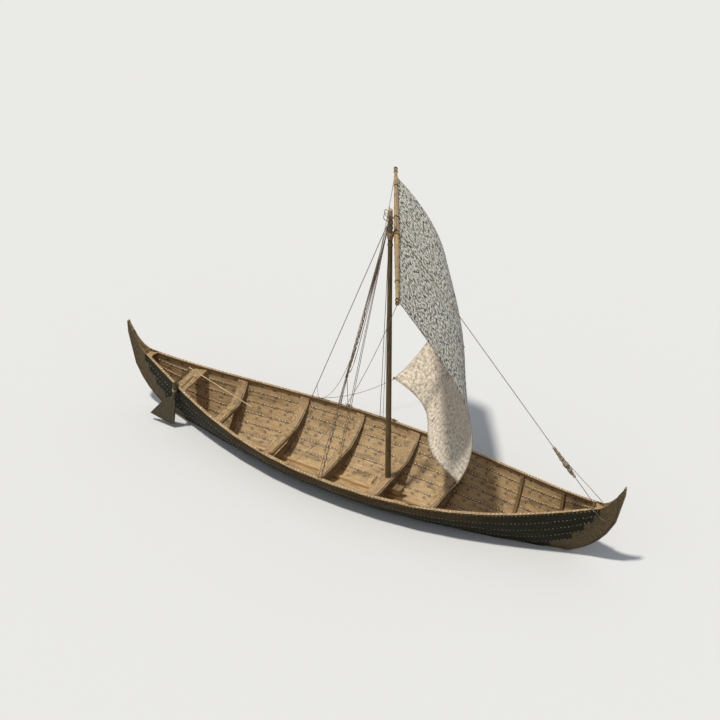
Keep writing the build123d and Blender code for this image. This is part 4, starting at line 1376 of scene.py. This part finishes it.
def water_outline():
    """Half of the cut-out in the floor: (x, y) where the hull's outer skin crosses the waterline."""
    half = []
    for k in range(WATER_STEPS + 1):
        t = -WATER_REACH + 2 * WATER_REACH * k / WATER_STEPS
        y = None
        for i in range(len(STEP_ENDS)):
            outer = strake_outline(i, t)[:-4:-1][:2 if i == 0 else 3]
            for a, b in zip(outer, outer[1:]):
                if a[1] <= 0 <= b[1]:
                    y = a[0] - (b[0] - a[0]) * a[1] / (b[1] - a[1])
        if y is not None:
            half.append((place(t), y - FLOOR_UNDER))
    return half


def looked_at(tree):
    """1 for the camera's rays, reflections and glass, and 0 for the light that lights things."""
    ray = tree.nodes.new("ShaderNodeLightPath")
    share = ray.outputs["Is Camera Ray"]
    for kind in ("Is Glossy Ray", "Is Transmission Ray"):
        larger = tree.nodes.new("ShaderNodeMath")
        larger.operation = "MAXIMUM"
        tree.links.new(share, larger.inputs[0])
        tree.links.new(ray.outputs[kind], larger.inputs[1])
        share = larger.outputs[0]
    return share


def two_ways(tree, thrown, seen, output):
    """Links one shader for the light that is thrown and another for what is looked at."""
    blend = tree.nodes.new("ShaderNodeMixShader")
    tree.links.new(looked_at(tree), blend.inputs[0])
    tree.links.new(thrown.outputs[0], blend.inputs[1])
    tree.links.new(seen.outputs[0], blend.inputs[2])
    tree.links.new(blend.outputs[0], output)


def floor_paint():
    """Pale to the camera and in reflections, and as dark as water in the light that it throws back."""
    material = bpy.data.materials.new("floor_paint")
    material.use_nodes = True
    tree = material.node_tree
    tree.nodes.clear()
    thrown = tree.nodes.new("ShaderNodeBsdfDiffuse")
    seen = tree.nodes.new("ShaderNodeBsdfDiffuse")
    thrown.inputs["Color"].default_value = WATER_TONE
    seen.inputs["Color"].default_value = FLOOR_TONE
    output = tree.nodes.new("ShaderNodeOutputMaterial")
    two_ways(tree, thrown, seen, output.inputs["Surface"])
    return material


def make_floor():
    half = water_outline()
    ring = half + [(x, -y) for x, y in half[::-1]]
    count = len(ring)
    points = [(x, y, 0.0) for x, y in ring]
    for x, y in ring:
        angle = math.atan2(y, x)
        points.append((FLOOR_FAR * math.cos(angle), FLOOR_FAR * math.sin(angle), 0.0))
    faces = [[k, (k + 1) % count, count + (k + 1) % count, count + k] for k in range(count)]
    mesh = bpy.data.meshes.new("floor")
    mesh.from_pydata(points, [], faces)
    mesh.update()
    made = bpy.data.objects.new("floor", mesh)
    bpy.context.scene.collection.objects.link(made)
    made.data.materials.append(floor_paint())


make_floor()

# Sun high over the starboard quarter, as the shade on the sail and the mast's shadow show,
# and an even sky that the camera sees as the pale backdrop
SUN_LEVEL = 2.35
SUN_WIDTH = math.radians(4)
SUN_COLOR = (1.0, 0.965, 0.90)
SUN_TOWARDS = Vector((-0.140, -0.243, 1.0))
sun = bpy.data.lights.new("sun", "SUN")
sun.energy = SUN_LEVEL
sun.angle = SUN_WIDTH
sun.color = SUN_COLOR
sun_object = bpy.data.objects.new("sun", sun)
sun_object.rotation_euler = SUN_TOWARDS.to_track_quat("Z", "Y").to_euler()
bpy.context.scene.collection.objects.link(sun_object)

SKY_TONE = (0.86, 0.92, 1.0, 1)
SKY_LEVEL = 0.36
BACKDROP_LEVEL = 0.86
world = bpy.data.worlds.new("studio")
bpy.context.scene.world = world
world.use_nodes = True
tree = world.node_tree
background = tree.nodes["Background"]
background.inputs["Color"].default_value = SKY_TONE
background.inputs["Strength"].default_value = SKY_LEVEL
backdrop = tree.nodes.new("ShaderNodeBackground")
backdrop.inputs["Color"].default_value = (1, 1, 1, 1)
backdrop.inputs["Strength"].default_value = BACKDROP_LEVEL
two_ways(tree, background, backdrop, tree.nodes["World Output"].inputs[0])

camera = bpy.data.cameras.new("camera")
camera.lens = CAMERA_LENS
camera.sensor_width = CAMERA_SENSOR
camera.clip_end = CAMERA_RANGE
viewer = bpy.data.objects.new("camera", camera)
axes = Matrix((CAMERA_RIGHT, CAMERA_UP, CAMERA_BACK)).transposed()
viewer.matrix_world = Matrix.Translation(CAMERA_PLACE) @ axes.to_4x4()
bpy.context.scene.collection.objects.link(viewer)
bpy.context.scene.camera = viewer
bpy.context.scene.view_settings.view_transform = "Standard"
